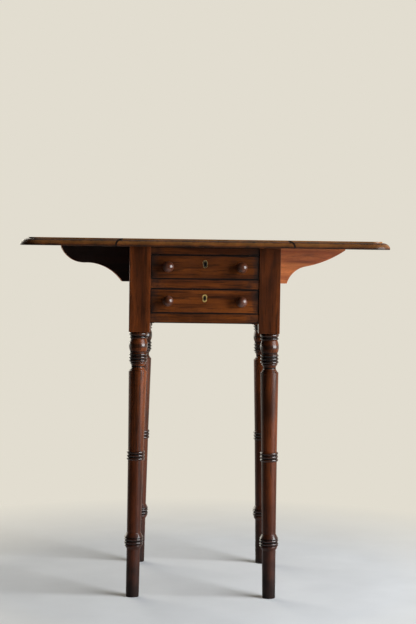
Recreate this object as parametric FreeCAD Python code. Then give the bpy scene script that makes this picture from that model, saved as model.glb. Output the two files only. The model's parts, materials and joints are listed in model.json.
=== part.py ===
"""Drop-leaf work table: turned legs, two drawers, and two leaves held up by swinging fly brackets.

Sizes are in millimetres. The origin is on the floor under the middle of the table, X runs to the right
along the open top, Y to the rear and Z up. The leaves are up, the brackets out and the drawers shut.
"""
import FreeCAD, Part
import math
import os

from FreeCAD import Vector

# Frame
TABLE_HEIGHT = 720.0
FRAME_WIDTH = 300.0  # over the posts, left to right
FRAME_DEPTH = 372.0  # over the posts, front to back
POST = 42.0  # side of the square leg post
FACE_SETBACK = 1.5  # rails and drawer fronts behind the post faces

# Heights of the front, from the top down
TOP_RAIL = 15.5
UPPER_OPENING = 47.5
MIDDLE_RAIL = 20.0
LOWER_OPENING = 48.0
BOTTOM_RAIL = 20.0
POST_DROP = 19.0  # square post below the bottom rail

# Rails and their tenons
RAIL_DEPTH = 45.0
TENON_LENGTH = 20.0
TENON_THICKNESS = 10.0
TENON_SET = 6.0  # tenon behind the rail's face
TENON_SHOULDER = 3.0
SIDE_RAIL = 18.0
SIDE_TENON_LENGTH = 16.0
SIDE_TENON_THICKNESS = 8.0
SIDE_TENON_SHOULDER = 14.0
REAR_PANEL = 16.0
REAR_TENON_THICKNESS = 8.0
DUMMY_FRONT = 4.0  # thickness of a dummy drawer front, let into the rear panel

# Top and leaves
TOP_THICKNESS = 16.0
TOP_OVERHANG = 24.0  # past the posts, front and back
SEAM_OVERHANG = 15.0  # from the post's outer face to the seam of the rule joint
LEAF_WIDTH = 203.0  # seam to outer edge
LEAF_CORNER = 38.0
EDGE_FILLET = 2.5  # step above the moulded edge
EDGE_INSET = 15.5
EDGE_NOSE = 2.0  # upright foot of the moulded edge
RULE_FILLET = 2.5
RULE_GAP = 0.7

# Flap hinges under the rule joints
HINGE_INSET = 80.0  # end of the top to the middle of a hinge
HINGE_WIDTH = 30.0
MIDDLE_KNUCKLE = 10.0  # length of the leaf's knuckle, between the two fixed ones
FIXED_FLAP = 35.0
LEAF_FLAP = 50.0
FLAP_THICKNESS = 2.0
KNUCKLE_DIAMETER = 6.0
HINGE_PIN_DIAMETER = 2.6
HINGE_CLEARANCE = 0.4
FLAP_LIFT_ROOM = 0.8  # room over the leaf flap for the leaf's lift
PIN_CLEARANCE = 0.15

# Fly brackets and fly rails
FLY_THICKNESS = 20.0
BRACKET_DEPTH = 75.0
BRACKET_FLAT = 35.0  # pin to the start of the hollow
BRACKET_TIP_DEPTH = 3.0
LEFT_REACH = 164.0  # pin to tip; the two brackets were sawn by eye and differ
LEFT_WAIST_REACH = 114.0  # pin to the turn of the ogee
LEFT_WAIST_DEPTH = 36.0
LEFT_WAIST_RISE = -2.5  # degrees the edge rises towards the tip at the turn
RIGHT_REACH = 158.0
RIGHT_WAIST_REACH = 74.5
RIGHT_WAIST_DEPTH = 38.4
RIGHT_WAIST_RISE = 11.0
BRACKET_CLEARANCE = 0.4
SUPPORT_GAP = 0.3  # bracket under leaf
FLY_KERF = 2.0  # saw gap round the folded bracket
KNUCKLE_COUNT = 5
FLY_PIN_DIAMETER = 5.0
FLY_PIN_SEAT = 12.0  # depth of the pin in the rail below the knuckles
LEFT_BRACKET_REST = 79.0  # degrees from folded, as left in use
RIGHT_BRACKET_REST = 90.0

# Drawers
DRAWER_BACK_ROOM = 18.0  # drawer's back to the rear panel
DRAWER_FRONT = 18.0
DRAWER_SIDE = 9.0
DRAWER_BACK = 9.0
DRAWER_BACK_DROP = 6.0  # back below the top of the sides
DRAWER_BOTTOM = 6.0
DRAWER_BOTTOM_RISE = 7.0
DRAWER_GROOVE = 4.0
DRAWER_FIT = 0.5
RUNNER_FIT = 0.3
DOVETAIL_LENGTH = 12.0
DOVETAIL_SLOPE = 6.0  # one in six
DOVETAIL_PIN = 0.25  # narrow face of a pin, as a share of the pitch
RUNNER_WIDTH = 15.0
GUIDE_HEIGHT = 10.0
STOP_WIDTH = 30.0
STOP_DEPTH = 14.0
STOP_HEIGHT = 4.0
STOP_SPACING = 110.0

# Knobs, keyholes and locks
KNOB_INSET = 34.5  # end of a drawer front to the middle of its knob
KNOB_DIAMETER = 22.0
KNOB_PROJECTION = 22.0
KNOB_NECK_DIAMETER = 10.0
KNOB_BASE_DIAMETER = 13.0
KNOB_BASE = 2.0
KNOB_DOWEL_DIAMETER = 8.0
KNOB_DOWEL = 13.0
KEYHOLE_RISE = 6.0  # keyhole above the middle of the drawer
ESCUTCHEON_WIDTH = 9.6
ESCUTCHEON_FOOT_WIDTH = 8.2
ESCUTCHEON_HEIGHT = 15.2
ESCUTCHEON_THICKNESS = 3.0
KEYHOLE_DIAMETER = 4.8
KEYHOLE_SLOT = 2.7
KEYHOLE_HEIGHT = 9.8
LOCK_WIDTH = 50.0
LOCK_HEIGHT = 28.0
LOCK_CASE = 8.0
LOCK_PLATE = 1.6
LOCK_PLATE_MARGIN = 5.0
BOLT_SLOT_WIDTH = 16.0
BOLT_SLOT = 4.0

# Screws
SCREW_HEAD_DIAMETER = 6.5
SCREW_DIAMETER = 3.4
SCREW_POINT = 3.0
SCREW_TIP_DIAMETER = 0.85
HINGE_SCREW = 10.0
HINGE_SCREW_INSET = 8.0
FLY_SCREW = 32.0
FLY_SCREW_INSET = 26.0
TOP_SCREW_BITE = 9.0
TOP_SCREW_INSET = 39.0  # from a post to the outer screws

# Turned legs, from the floor up
LEG_SPLAY = 0.7  # degrees that the turned part leans outwards
LEG_OFFSET = 2.0  # turned part outside the middle of its post, where the two meet
FOOT_DIAMETER = 26.0
FOOT_TOP_DIAMETER = 27.5
ANKLE_HEIGHT = 96.5
ANKLE_DIAMETER = 38.0
ANKLE_SHOULDER = 9.0
ANKLE_RING = 5.0
SHAFT_FOOT_DIAMETER = 28.0
MIDDLE_RINGS_HEIGHT = 276.0
MIDDLE_RING = 5.9
MIDDLE_RING_DIAMETER = 36.0
SHAFT_MIDDLE_DIAMETER = 31.0
SHAFT_TOP_DIAMETER = 36.0
SHAFT_SHOULDER = 2.5
NECK_FILLET = 1.5
NECK_HEIGHT = 11.5
NECK_DIAMETER = 25.5
NECK_BEAD = 4.0
NECK_BEAD_DIAMETER = 32.0
NECK_RING = 5.0
NECK_RING_DIAMETER = 36.5
BULB_HEIGHT = 26.0
BULB_DIAMETER = 37.6
BULB_END_DIAMETER = 31.0
THIN_RING = 3.5
COLLAR_HEIGHT = 8.0
COLLAR_DIAMETER = 38.0
GROOVE = 1.6  # width of the groove between rings
GROOVE_DEPTH = 2.2
RING_COUNT = 3
RING_ROUND = 0.4  # rise of a ring's rounded edge, as a share of its height

# Places worked out from the sizes
HALF_WIDTH = FRAME_WIDTH / 2
HALF_DEPTH = FRAME_DEPTH / 2
INNER_X = HALF_WIDTH - POST
INNER_Y = HALF_DEPTH - POST
UNDERSIDE = TABLE_HEIGHT - TOP_THICKNESS
TOP_RAIL_Z = UNDERSIDE - TOP_RAIL
UPPER_FLOOR = TOP_RAIL_Z - UPPER_OPENING
LOWER_CEILING = UPPER_FLOOR - MIDDLE_RAIL
LOWER_FLOOR = LOWER_CEILING - LOWER_OPENING
FRAME_FOOT = LOWER_FLOOR - BOTTOM_RAIL
POST_FOOT = FRAME_FOOT - POST_DROP
LEG_LIFT = COLLAR_DIAMETER / 2 * math.sin(math.radians(LEG_SPLAY))  # keeps the leaning collar in its post
FRONT_FACE = FACE_SETBACK - HALF_DEPTH
RAIL_BACK = FRONT_FACE + RAIL_DEPTH
REAR_FACE = HALF_DEPTH - FACE_SETBACK
REAR_INSIDE = REAR_FACE - REAR_PANEL
FLY_INSIDE = HALF_WIDTH - FLY_THICKNESS
SIDE_INSIDE = FLY_INSIDE - SIDE_RAIL
RUNNER_INSIDE = SIDE_INSIDE - RUNNER_WIDTH
TOP_EDGE_Y = HALF_DEPTH + TOP_OVERHANG
SEAM_X = HALF_WIDTH + SEAM_OVERHANG
LEAF_EDGE_X = SEAM_X + LEAF_WIDTH
HINGE_Z = UNDERSIDE + KNUCKLE_DIAMETER / 2
RULE_RADIUS = TABLE_HEIGHT - RULE_FILLET - HINGE_Z
PIN_X = HALF_WIDTH - FLY_THICKNESS / 2
PIN_Y = max(LEFT_REACH, RIGHT_REACH) + FLY_KERF - INNER_Y
LEFT_OGEE = (LEFT_REACH, LEFT_WAIST_REACH, LEFT_WAIST_DEPTH, math.radians(LEFT_WAIST_RISE))
RIGHT_OGEE = (RIGHT_REACH, RIGHT_WAIST_REACH, RIGHT_WAIST_DEPTH, math.radians(RIGHT_WAIST_RISE))
BARREL_RADIUS = FLY_THICKNESS / 2
BRACKET_HALF = BARREL_RADIUS - BRACKET_CLEARANCE
KNUCKLE_HEIGHT = BRACKET_DEPTH / KNUCKLE_COUNT
DRAWER_HALF = INNER_X - DRAWER_FIT
KNOB_X = DRAWER_HALF - KNOB_INSET
DRAWER_PLACES = {"upper": (UPPER_FLOOR, UPPER_OPENING), "lower": (LOWER_FLOOR, LOWER_OPENING)}
PAST = 1.0  # how far a cutter runs past the face it cuts


def box(x0, x1, y0, y1, z0, z1):
    """A block between two corners."""
    return Part.makeBox(x1 - x0, y1 - y0, z1 - z0, Vector(x0, y0, z0))


def polygon(points):
    """A flat face through the points, leaving out any point that repeats the one before it."""
    corners = [points[0]]
    for point in points[1:]:
        if point.distanceToPoint(corners[-1]) > 1e-6:
            corners.append(point)
    return Part.Face(Part.makePolygon(corners + [corners[0]]))


def face_of(edges):
    """A flat face inside edges given in order."""
    return Part.Face(Part.Wire(edges))


def line(start, end):
    return Part.makeLine(start, end)


def arc(start, through, end):
    return Part.Arc(start, through, end).toShape()


def quarter_curve(start, corner, end):
    """A quarter of an ellipse that leaves start and reaches end along the two sides of the corner."""
    pull = 4 * (math.sqrt(2) - 1) / 3
    curve = Part.BezierCurve()
    curve.setPoles([start, start + (corner - start) * pull, end + (corner - end) * pull, end])
    return curve.toShape()


def rod(radius, length, base, direction):
    return Part.makeCylinder(radius, length, base, direction)


def mirrored(shape):
    """The same piece on the other side of the table."""
    return shape.mirror(Vector(0, 0, 0), Vector(1, 0, 0))


def joined(shapes):
    """One solid out of pieces that touch or overlap."""
    return shapes[0].fuse(shapes[1:]).removeSplitter()


def group(solids):
    """Separate solids that share one node."""
    return Part.makeCompound(solids)


class Turning:
    """The outline of a turned piece, drawn upwards as radius and height, then spun round its axis."""

    def __init__(self, radius, height):
        self.foot = Vector(0, 0, height)
        self.point = self.foot
        self.edges = []
        self.to(radius, height)

    def to(self, radius, height):
        """A straight stretch."""
        end = Vector(radius, 0, height)
        if end.distanceToPoint(self.point) > 1e-6:
            self.edges.append(line(self.point, end))
        self.point = end

    def through(self, middle_radius, middle_height, radius, height):
        """A round stretch."""
        end = Vector(radius, 0, height)
        self.edges.append(arc(self.point, Vector(middle_radius, 0, middle_height), end))
        self.point = end

    def bulge(self, crown, height):
        """A round stretch up to a height, back to the same radius."""
        start = self.point
        self.through(crown, start.z + height / 2, start.x, start.z + height)

    def bead(self, crown, height, floor):
        """A ring with a rounded edge, standing up from the groove floor."""
        shoulder = max(floor, crown - RING_ROUND * height)
        self.to(shoulder, self.point.z)
        self.bulge(crown, height)
        self.to(floor, self.point.z)

    def groove(self, height):
        """A plain stretch at the present radius."""
        self.to(self.point.x, self.point.z + height)

    def close_in(self, radius, height):
        """A quarter round that leaves upright and ends level."""
        start = self.point
        share = math.sqrt(0.5)
        self.through(radius + (start.x - radius) * share, start.z + height * share,
                     radius, start.z + height)

    def solid(self):
        self.to(0, self.point.z)
        self.to(self.foot.x, self.foot.z)
        return face_of(self.edges).revolve(Vector(0, 0, 0), Vector(0, 0, 1), 360)


def wood_screw(length):
    """A countersunk screw with its head level with the origin and its point up."""
    screw = Turning(SCREW_HEAD_DIAMETER / 2, 0)
    head = (SCREW_HEAD_DIAMETER - SCREW_DIAMETER) / 2
    screw.to(SCREW_DIAMETER / 2, head)
    screw.to(SCREW_DIAMETER / 2, length - SCREW_POINT)
    screw.to(SCREW_TIP_DIAMETER / 2, length)
    return screw.solid()


def turned_leg():
    """The turned part of a leg, on the Z axis, from just under the floor to the foot of the post."""
    ankle_floor = ANKLE_DIAMETER / 2 - GROOVE_DEPTH
    leg = Turning(FOOT_DIAMETER / 2, -PAST)
    leg.to(FOOT_TOP_DIAMETER / 2, ANKLE_HEIGHT)
    leg.to(ANKLE_DIAMETER / 2, ANKLE_HEIGHT + ANKLE_SHOULDER)
    leg.to(ankle_floor, leg.point.z)
    for ring in range(2):
        leg.groove(GROOVE)
        leg.bead(ANKLE_DIAMETER / 2, ANKLE_RING, ankle_floor)
    leg.groove(GROOVE)
    leg.to(ANKLE_DIAMETER / 2, leg.point.z)
    leg.to(SHAFT_FOOT_DIAMETER / 2, leg.point.z + ANKLE_SHOULDER)

    leg.to(SHAFT_MIDDLE_DIAMETER / 2, MIDDLE_RINGS_HEIGHT)
    ring_floor = MIDDLE_RING_DIAMETER / 2 - GROOVE_DEPTH
    for ring in range(RING_COUNT):
        leg.bead(MIDDLE_RING_DIAMETER / 2, MIDDLE_RING, ring_floor)
        if ring < RING_COUNT - 1:
            leg.groove(GROOVE / 2)
    leg.to(SHAFT_MIDDLE_DIAMETER / 2, leg.point.z)

    upper_floor = NECK_RING_DIAMETER / 2 - GROOVE_DEPTH
    upper_rings = RING_COUNT * NECK_RING + (RING_COUNT - 1) * GROOVE
    upper_work = COLLAR_HEIGHT + THIN_RING + BULB_HEIGHT + upper_rings + 3 * GROOVE
    bead_foot = POST_FOOT - upper_work - NECK_BEAD
    neck_foot = bead_foot - NECK_HEIGHT
    leg.to(SHAFT_TOP_DIAMETER / 2, neck_foot - NECK_FILLET - SHAFT_SHOULDER)
    leg.close_in(SHAFT_TOP_DIAMETER / 2 - SHAFT_SHOULDER, SHAFT_SHOULDER)
    leg.groove(NECK_FILLET)
    leg.through(NECK_DIAMETER / 2, neck_foot + NECK_HEIGHT / 2,
                NECK_BEAD_DIAMETER / 2 - RING_ROUND * NECK_BEAD, bead_foot)
    leg.bulge(NECK_BEAD_DIAMETER / 2, NECK_BEAD)
    leg.to(upper_floor, leg.point.z)
    for ring in range(RING_COUNT):
        leg.bead(NECK_RING_DIAMETER / 2, NECK_RING, upper_floor)
        leg.groove(GROOVE)
    leg.to(BULB_END_DIAMETER / 2, leg.point.z)
    leg.bulge(BULB_DIAMETER / 2, BULB_HEIGHT)
    leg.to(upper_floor, leg.point.z)
    leg.groove(GROOVE)
    leg.bead(NECK_RING_DIAMETER / 2, THIN_RING, upper_floor)
    leg.groove(GROOVE)
    leg.bead(COLLAR_DIAMETER / 2, COLLAR_HEIGHT, upper_floor)
    return leg.solid()


def leaning(turned, side):
    """The turned part leaning out to the right (1) or left (-1), cut level at the floor."""
    leg = turned.copy()
    leg.rotate(Vector(0, 0, POST_FOOT), Vector(0, 1, 0), -side * LEG_SPLAY)
    leg.translate(Vector(side * LEG_OFFSET, 0, LEG_LIFT))
    return leg.cut(box(-POST, POST, -POST, POST, -POST, 0))


def make_legs(tenoned):
    """The four legs, each with the mortises for the rails that enter it."""
    turned = turned_leg()
    half = POST / 2
    legs = {}
    for row, y in (("front", half - HALF_DEPTH), ("rear", HALF_DEPTH - half)):
        for side, x in (("left", half - HALF_WIDTH), ("right", HALF_WIDTH - half)):
            post = box(x - half, x + half, y - half, y + half, POST_FOOT, UNDERSIDE)
            foot = leaning(turned, math.copysign(1, x)).translated(Vector(x, y, 0))
            whole = joined([post, foot])
            legs[row + "_" + side + "_leg"] = whole.cut(tenoned)
    return legs


def front_rail(foot, height):
    """A rail across the front with a tenon at each end."""
    body = box(-INNER_X, INNER_X, FRONT_FACE, RAIL_BACK, foot, foot + height)
    reach = INNER_X + TENON_LENGTH
    near = FRONT_FACE + TENON_SET
    tenons = box(-reach, reach, near, near + TENON_THICKNESS,
                 foot + TENON_SHOULDER, foot + height - TENON_SHOULDER)
    return joined([body, tenons])


def make_side_rail():
    """The right side rail, tenoned into both right legs."""
    body = box(SIDE_INSIDE, FLY_INSIDE, -INNER_Y, INNER_Y, FRAME_FOOT, UNDERSIDE)
    middle = (SIDE_INSIDE + FLY_INSIDE) / 2
    reach = INNER_Y + SIDE_TENON_LENGTH
    tenons = box(middle - SIDE_TENON_THICKNESS / 2, middle + SIDE_TENON_THICKNESS / 2, -reach, reach,
                 FRAME_FOOT + SIDE_TENON_SHOULDER, UNDERSIDE - SIDE_TENON_SHOULDER)
    return joined([body, tenons])


def make_rear_panel():
    """The board across the rear, tenoned into the rear legs."""
    body = box(-INNER_X, INNER_X, REAR_INSIDE, REAR_FACE, FRAME_FOOT, UNDERSIDE)
    middle = (REAR_INSIDE + REAR_FACE) / 2
    reach = INNER_X + TENON_LENGTH
    tenons = box(-reach, reach, middle - REAR_TENON_THICKNESS / 2, middle + REAR_TENON_THICKNESS / 2,
                 FRAME_FOOT + SIDE_TENON_SHOULDER, UNDERSIDE - SIDE_TENON_SHOULDER)
    return joined([body, tenons])


def dummy_front(floor, opening):
    """A thin board let into the rear panel, with the outline of a drawer front."""
    return box(-DRAWER_HALF, DRAWER_HALF, REAR_FACE - DUMMY_FRONT, REAR_FACE,
               floor + RUNNER_FIT, floor + opening - DRAWER_FIT)


def make_knob(x, face_y, z, facing):
    """A turned knob on a drawer face; facing is -1 towards the front and 1 towards the rear."""
    ball = KNOB_DIAMETER / 2
    centre = KNOB_PROJECTION - ball
    neck = KNOB_NECK_DIAMETER / 2
    neck_end = centre - math.sqrt(ball ** 2 - neck ** 2)
    base = min(KNOB_BASE, neck_end)
    knob = Turning(KNOB_DOWEL_DIAMETER / 2, -KNOB_DOWEL)
    knob.to(KNOB_DOWEL_DIAMETER / 2, 0)
    if base > 0:
        knob.to(KNOB_BASE_DIAMETER / 2, 0)
        knob.close_in(neck, base)
    knob.to(neck, neck_end)
    knob.through(ball, centre, 0, KNOB_PROJECTION)
    solid = knob.solid()
    solid.rotate(Vector(0, 0, 0), Vector(1, 0, 0), -90 * facing)
    return solid.translated(Vector(x, face_y, z))


def keyhole_face(y, z, width, foot_width, height):
    """A round head over a narrower foot with a round end, seen from the front; z is its middle."""
    head = width / 2
    foot = foot_width / 2
    head_z = z + height / 2 - head
    foot_z = z - height / 2 + foot
    meet = head_z - math.sqrt(head ** 2 - foot ** 2)
    edges = [
        arc(Vector(-foot, y, meet), Vector(0, y, head_z + head), Vector(foot, y, meet)),
        line(Vector(foot, y, meet), Vector(foot, y, foot_z)),
        arc(Vector(foot, y, foot_z), Vector(0, y, foot_z - foot), Vector(-foot, y, foot_z)),
        line(Vector(-foot, y, foot_z), Vector(-foot, y, meet)),
    ]
    return face_of(edges)


def dovetails(x0, x1, root_y, end_y, foot, top):
    """Two tails on a drawer side, spreading from the root towards the end of the board."""
    pitch = (top - foot) / 2
    spread = abs(end_y - root_y) / DOVETAIL_SLOPE
    tails = []
    for index in range(2):
        middle = foot + pitch * (index + 0.5)
        narrow = pitch * (1 - DOVETAIL_PIN) / 2 - spread
        wide = narrow + spread
        outline = [
            Vector(x0, root_y, middle - narrow),
            Vector(x0, end_y, middle - wide),
            Vector(x0, end_y, middle + wide),
            Vector(x0, root_y, middle + narrow),
        ]
        tails.append(polygon(outline).extrude(Vector(x1 - x0, 0, 0)))
    return tails


def make_drawer(name, floor, opening):
    """One drawer: dovetailed box, bottom in grooves, knobs, escutcheon and lock."""
    half = DRAWER_HALF
    foot = floor + RUNNER_FIT
    top = floor + opening - DRAWER_FIT
    front_back = FRONT_FACE + DRAWER_FRONT
    rear = REAR_INSIDE - DRAWER_BACK_ROOM
    back_inside = rear - DRAWER_BACK
    bottom_z = foot + DRAWER_BOTTOM_RISE
    bottom_top = bottom_z + DRAWER_BOTTOM
    back_top = top - DRAWER_BACK_DROP

    inner = half - DRAWER_SIDE + DRAWER_GROOVE
    bottom = box(-inner, inner, front_back - DRAWER_GROOVE, rear, bottom_z, bottom_top)

    board = box(half - DRAWER_SIDE, half, front_back, back_inside, foot, top)
    front_tails = dovetails(half - DRAWER_SIDE, half, front_back, front_back - DOVETAIL_LENGTH, foot, top)
    rear_tails = dovetails(half - DRAWER_SIDE, half, back_inside, rear, bottom_top, back_top)
    right_side = joined([board] + front_tails + rear_tails).cut(bottom)
    left_side = mirrored(right_side)
    back = box(-half, half, back_inside, rear, bottom_top, back_top).cut([left_side, right_side])

    middle_z = floor + opening / 2
    keyhole_z = middle_z + KEYHOLE_RISE
    into = Vector(0, 1, 0)
    escutcheon = keyhole_face(FRONT_FACE, keyhole_z, ESCUTCHEON_WIDTH, ESCUTCHEON_FOOT_WIDTH,
                              ESCUTCHEON_HEIGHT).extrude(into * ESCUTCHEON_THICKNESS)
    case_face = front_back - LOCK_CASE
    keyway = keyhole_face(FRONT_FACE - PAST, keyhole_z, KEYHOLE_DIAMETER, KEYHOLE_SLOT,
                          KEYHOLE_HEIGHT).extrude(into * (case_face - FRONT_FACE + LOCK_CASE / 2 + PAST))

    case = box(-LOCK_WIDTH / 2, LOCK_WIDTH / 2, case_face, front_back, top - LOCK_HEIGHT, top)
    plate_half = LOCK_WIDTH / 2 + LOCK_PLATE_MARGIN
    plate = box(-plate_half, plate_half, front_back - LOCK_PLATE, front_back,
                top - LOCK_HEIGHT - LOCK_PLATE_MARGIN, top)
    lock = joined([case, plate])
    slot_y = case_face + (LOCK_CASE - LOCK_PLATE - BOLT_SLOT) / 2
    slot = box(-BOLT_SLOT_WIDTH / 2, BOLT_SLOT_WIDTH / 2, slot_y, slot_y + BOLT_SLOT, top - BOLT_SLOT, top)

    knobs = [make_knob(side * KNOB_X, FRONT_FACE, middle_z, -1) for side in (-1, 1)]
    front = box(-half, half, FRONT_FACE, front_back, foot, top)
    front = front.cut([left_side, right_side, bottom, lock, escutcheon, keyway] + knobs)
    return {
        name + "_drawer_front": front,
        name + "_drawer_left_side": left_side,
        name + "_drawer_right_side": right_side,
        name + "_drawer_back": back,
        name + "_drawer_bottom": bottom,
        name + "_drawer_left_knob": knobs[0],
        name + "_drawer_right_knob": knobs[1],
        name + "_drawer_escutcheon": escutcheon.cut(keyway),
        name + "_drawer_lock": lock.cut([keyway, slot]),
    }


def bearer(foot, height):
    """The right strip along the inside of a side rail, from the front rail to the rear panel."""
    front_notch = max(RAIL_BACK, -INNER_Y)
    outline = [
        Vector(RUNNER_INSIDE, RAIL_BACK, foot),
        Vector(INNER_X, RAIL_BACK, foot),
        Vector(INNER_X, front_notch, foot),
        Vector(SIDE_INSIDE, front_notch, foot),
        Vector(SIDE_INSIDE, INNER_Y, foot),
        Vector(INNER_X, INNER_Y, foot),
        Vector(INNER_X, REAR_INSIDE, foot),
        Vector(RUNNER_INSIDE, REAR_INSIDE, foot),
    ]
    return polygon(outline).extrude(Vector(0, 0, height))


def guide(foot):
    """The right strip that keeps a drawer straight, standing on its runner."""
    return box(INNER_X, SIDE_INSIDE, max(RAIL_BACK, -INNER_Y), INNER_Y, foot, foot + GUIDE_HEIGHT)


def stops(foot):
    """Two blocks on a rail that the back of the drawer front comes up against."""
    near = FRONT_FACE + DRAWER_FRONT + RUNNER_FIT
    blocks = []
    for side in (-1, 1):
        x = side * STOP_SPACING / 2
        blocks.append(box(x - STOP_WIDTH / 2, x + STOP_WIDTH / 2, near, near + STOP_DEPTH,
                          foot, foot + STOP_HEIGHT))
    return group(blocks)


def both_sides(shape):
    return group([mirrored(shape), shape])


def fly_point(reach, depth):
    """A point in the plane of the fly rail: reach forward from the pin, depth below the top."""
    return Vector(FLY_INSIDE, PIN_Y - reach, UNDERSIDE - depth)


def arc_radius(across, down, rise):
    """Radius of an arc that leaves the turn of the ogee at a rise and ends that far across and down."""
    return (across ** 2 + down ** 2) / (2 * (across * math.sin(rise) + down * math.cos(rise)))


def ogee_face(ogee, clearance, start, top, past_tip):
    """A bracket's outline as it lies folded, grown by a clearance on its lower edge."""
    reach, waist_reach, waist_depth, rise = ogee
    cove = arc_radius(BRACKET_FLAT - waist_reach, BRACKET_DEPTH - waist_depth, rise)
    belly = arc_radius(waist_reach - reach, waist_depth - BRACKET_TIP_DEPTH, rise)
    cove_reach = waist_reach + cove * math.sin(rise)
    cove_depth = waist_depth + cove * math.cos(rise)
    belly_reach = waist_reach - belly * math.sin(rise)
    belly_depth = waist_depth - belly * math.cos(rise)

    floor = BRACKET_DEPTH + clearance
    tip = reach + clearance
    cove_angle = math.acos((cove_depth - floor) / (cove - clearance))
    belly_angle = math.asin((tip - belly_reach) / (belly + clearance))

    def on_cove(angle):
        return fly_point(cove_reach - (cove - clearance) * math.sin(angle),
                         cove_depth - (cove - clearance) * math.cos(angle))

    def on_belly(angle):
        return fly_point(belly_reach + (belly + clearance) * math.sin(angle),
                         belly_depth + (belly + clearance) * math.cos(angle))

    heel = on_cove(cove_angle)
    turn = on_cove(rise)
    nose = on_belly(belly_angle)
    nose_depth = UNDERSIDE - nose.z
    rim = [
        nose,
        fly_point(tip + past_tip, nose_depth),
        fly_point(tip + past_tip, top),
        fly_point(start, top),
        fly_point(start, floor),
        heel,
    ]
    edges = [line(a, b) for a, b in zip(rim, rim[1:]) if a.distanceToPoint(b) > 1e-6]
    edges.append(arc(heel, on_cove((cove_angle + rise) / 2), turn))
    edges.append(arc(turn, on_belly((belly_angle + rise) / 2), nose))
    return face_of(edges)


def knuckle(level, radius, gap):
    """A round knuckle on the fly pin, one of the stack counted from the top."""
    foot = UNDERSIDE - (level + 1) * KNUCKLE_HEIGHT + gap
    return rod(radius, KNUCKLE_HEIGHT - 2 * gap, Vector(PIN_X, PIN_Y, foot), Vector(0, 0, 1))


def fly_pin(radius):
    foot = UNDERSIDE - BRACKET_DEPTH - FLY_KERF - FLY_PIN_SEAT
    return rod(radius, UNDERSIDE - SUPPORT_GAP - foot, Vector(PIN_X, PIN_Y, foot), Vector(0, 0, 1))


def make_fly_rail(ogee):
    """A fly rail on the right: a board along the side with a recess that the folded bracket fills."""
    board = box(FLY_INSIDE, HALF_WIDTH, -INNER_Y, INNER_Y, FRAME_FOOT, UNDERSIDE)
    shoulder = BRACKET_HALF + BRACKET_CLEARANCE
    recess = ogee_face(ogee, FLY_KERF, -shoulder, -PAST, PAST).extrude(Vector(FLY_THICKNESS, 0, 0))
    pieces = [board.cut(recess)]
    for level in range(0, KNUCKLE_COUNT, 2):
        high = level * KNUCKLE_HEIGHT
        low = high + KNUCKLE_HEIGHT
        if level == KNUCKLE_COUNT - 1:
            low += FLY_KERF
        foot = UNDERSIDE - low
        pieces.append(rod(BARREL_RADIUS, low - high, Vector(PIN_X, PIN_Y, foot), Vector(0, 0, 1)))
        pieces.append(box(FLY_INSIDE, HALF_WIDTH, PIN_Y, PIN_Y + shoulder, foot, foot + low - high))
    return joined(pieces).cut(fly_pin(FLY_PIN_DIAMETER / 2))


def make_bracket(ogee):
    """A fly bracket on the right, folded into its recess."""
    start = BARREL_RADIUS + BRACKET_CLEARANCE
    inner_x = PIN_X - BRACKET_HALF
    blank = ogee_face(ogee, 0, start, SUPPORT_GAP, 0)
    blade = blank.translated(Vector(inner_x - FLY_INSIDE, 0, 0)).extrude(Vector(2 * BRACKET_HALF, 0, 0))
    pieces = [blade]
    for level in range(1, KNUCKLE_COUNT, 2):
        foot = UNDERSIDE - (level + 1) * KNUCKLE_HEIGHT + BRACKET_CLEARANCE
        height = KNUCKLE_HEIGHT - 2 * BRACKET_CLEARANCE
        pieces.append(knuckle(level, BRACKET_HALF, BRACKET_CLEARANCE))
        pieces.append(box(inner_x, inner_x + 2 * BRACKET_HALF, PIN_Y - start - PAST, PIN_Y,
                          foot, foot + height))
    return joined(pieces).cut(fly_pin(FLY_PIN_DIAMETER / 2 + PIN_CLEARANCE))


def swung(bracket, angle):
    """The right bracket turned out from its folded place by an angle in degrees."""
    turned = bracket.copy()
    turned.rotate(Vector(PIN_X, PIN_Y, 0), Vector(0, 0, 1), angle)
    return turned


def fly_screws():
    """Screws through the right fly rail into the side rail."""
    low = FRAME_FOOT + FLY_SCREW_INSET
    high = UNDERSIDE - FLY_SCREW_INSET
    rear = INNER_Y - FLY_SCREW_INSET
    places = [(-rear, low), (PIN_Y, low), (rear, low), (rear, high)]
    screws = []
    for y, z in places:
        screw = wood_screw(FLY_SCREW)
        screw.rotate(Vector(0, 0, 0), Vector(0, 1, 0), -90)
        screws.append(screw.translated(Vector(HALF_WIDTH, y, z)))
    return screws


def edge_cutter(start, inward):
    """Profile of what the edge moulding takes off; start is on the lower edge, inward points inboard."""
    up = Vector(0, 0, 1)
    foot = start + up * EDGE_NOSE
    head = start + inward * EDGE_INSET + up * (TOP_THICKNESS - EDGE_FILLET)
    crest = start + up * (TOP_THICKNESS - EDGE_FILLET)
    rim = start + inward * EDGE_INSET + up * (TOP_THICKNESS + PAST)
    out = start - inward * PAST
    return [
        quarter_curve(foot, crest, head),
        line(head, rim),
        line(rim, out + up * (TOP_THICKNESS + PAST)),
        line(out + up * (TOP_THICKNESS + PAST), out + up * EDGE_NOSE),
        line(out + up * EDGE_NOSE, foot),
    ]


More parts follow.
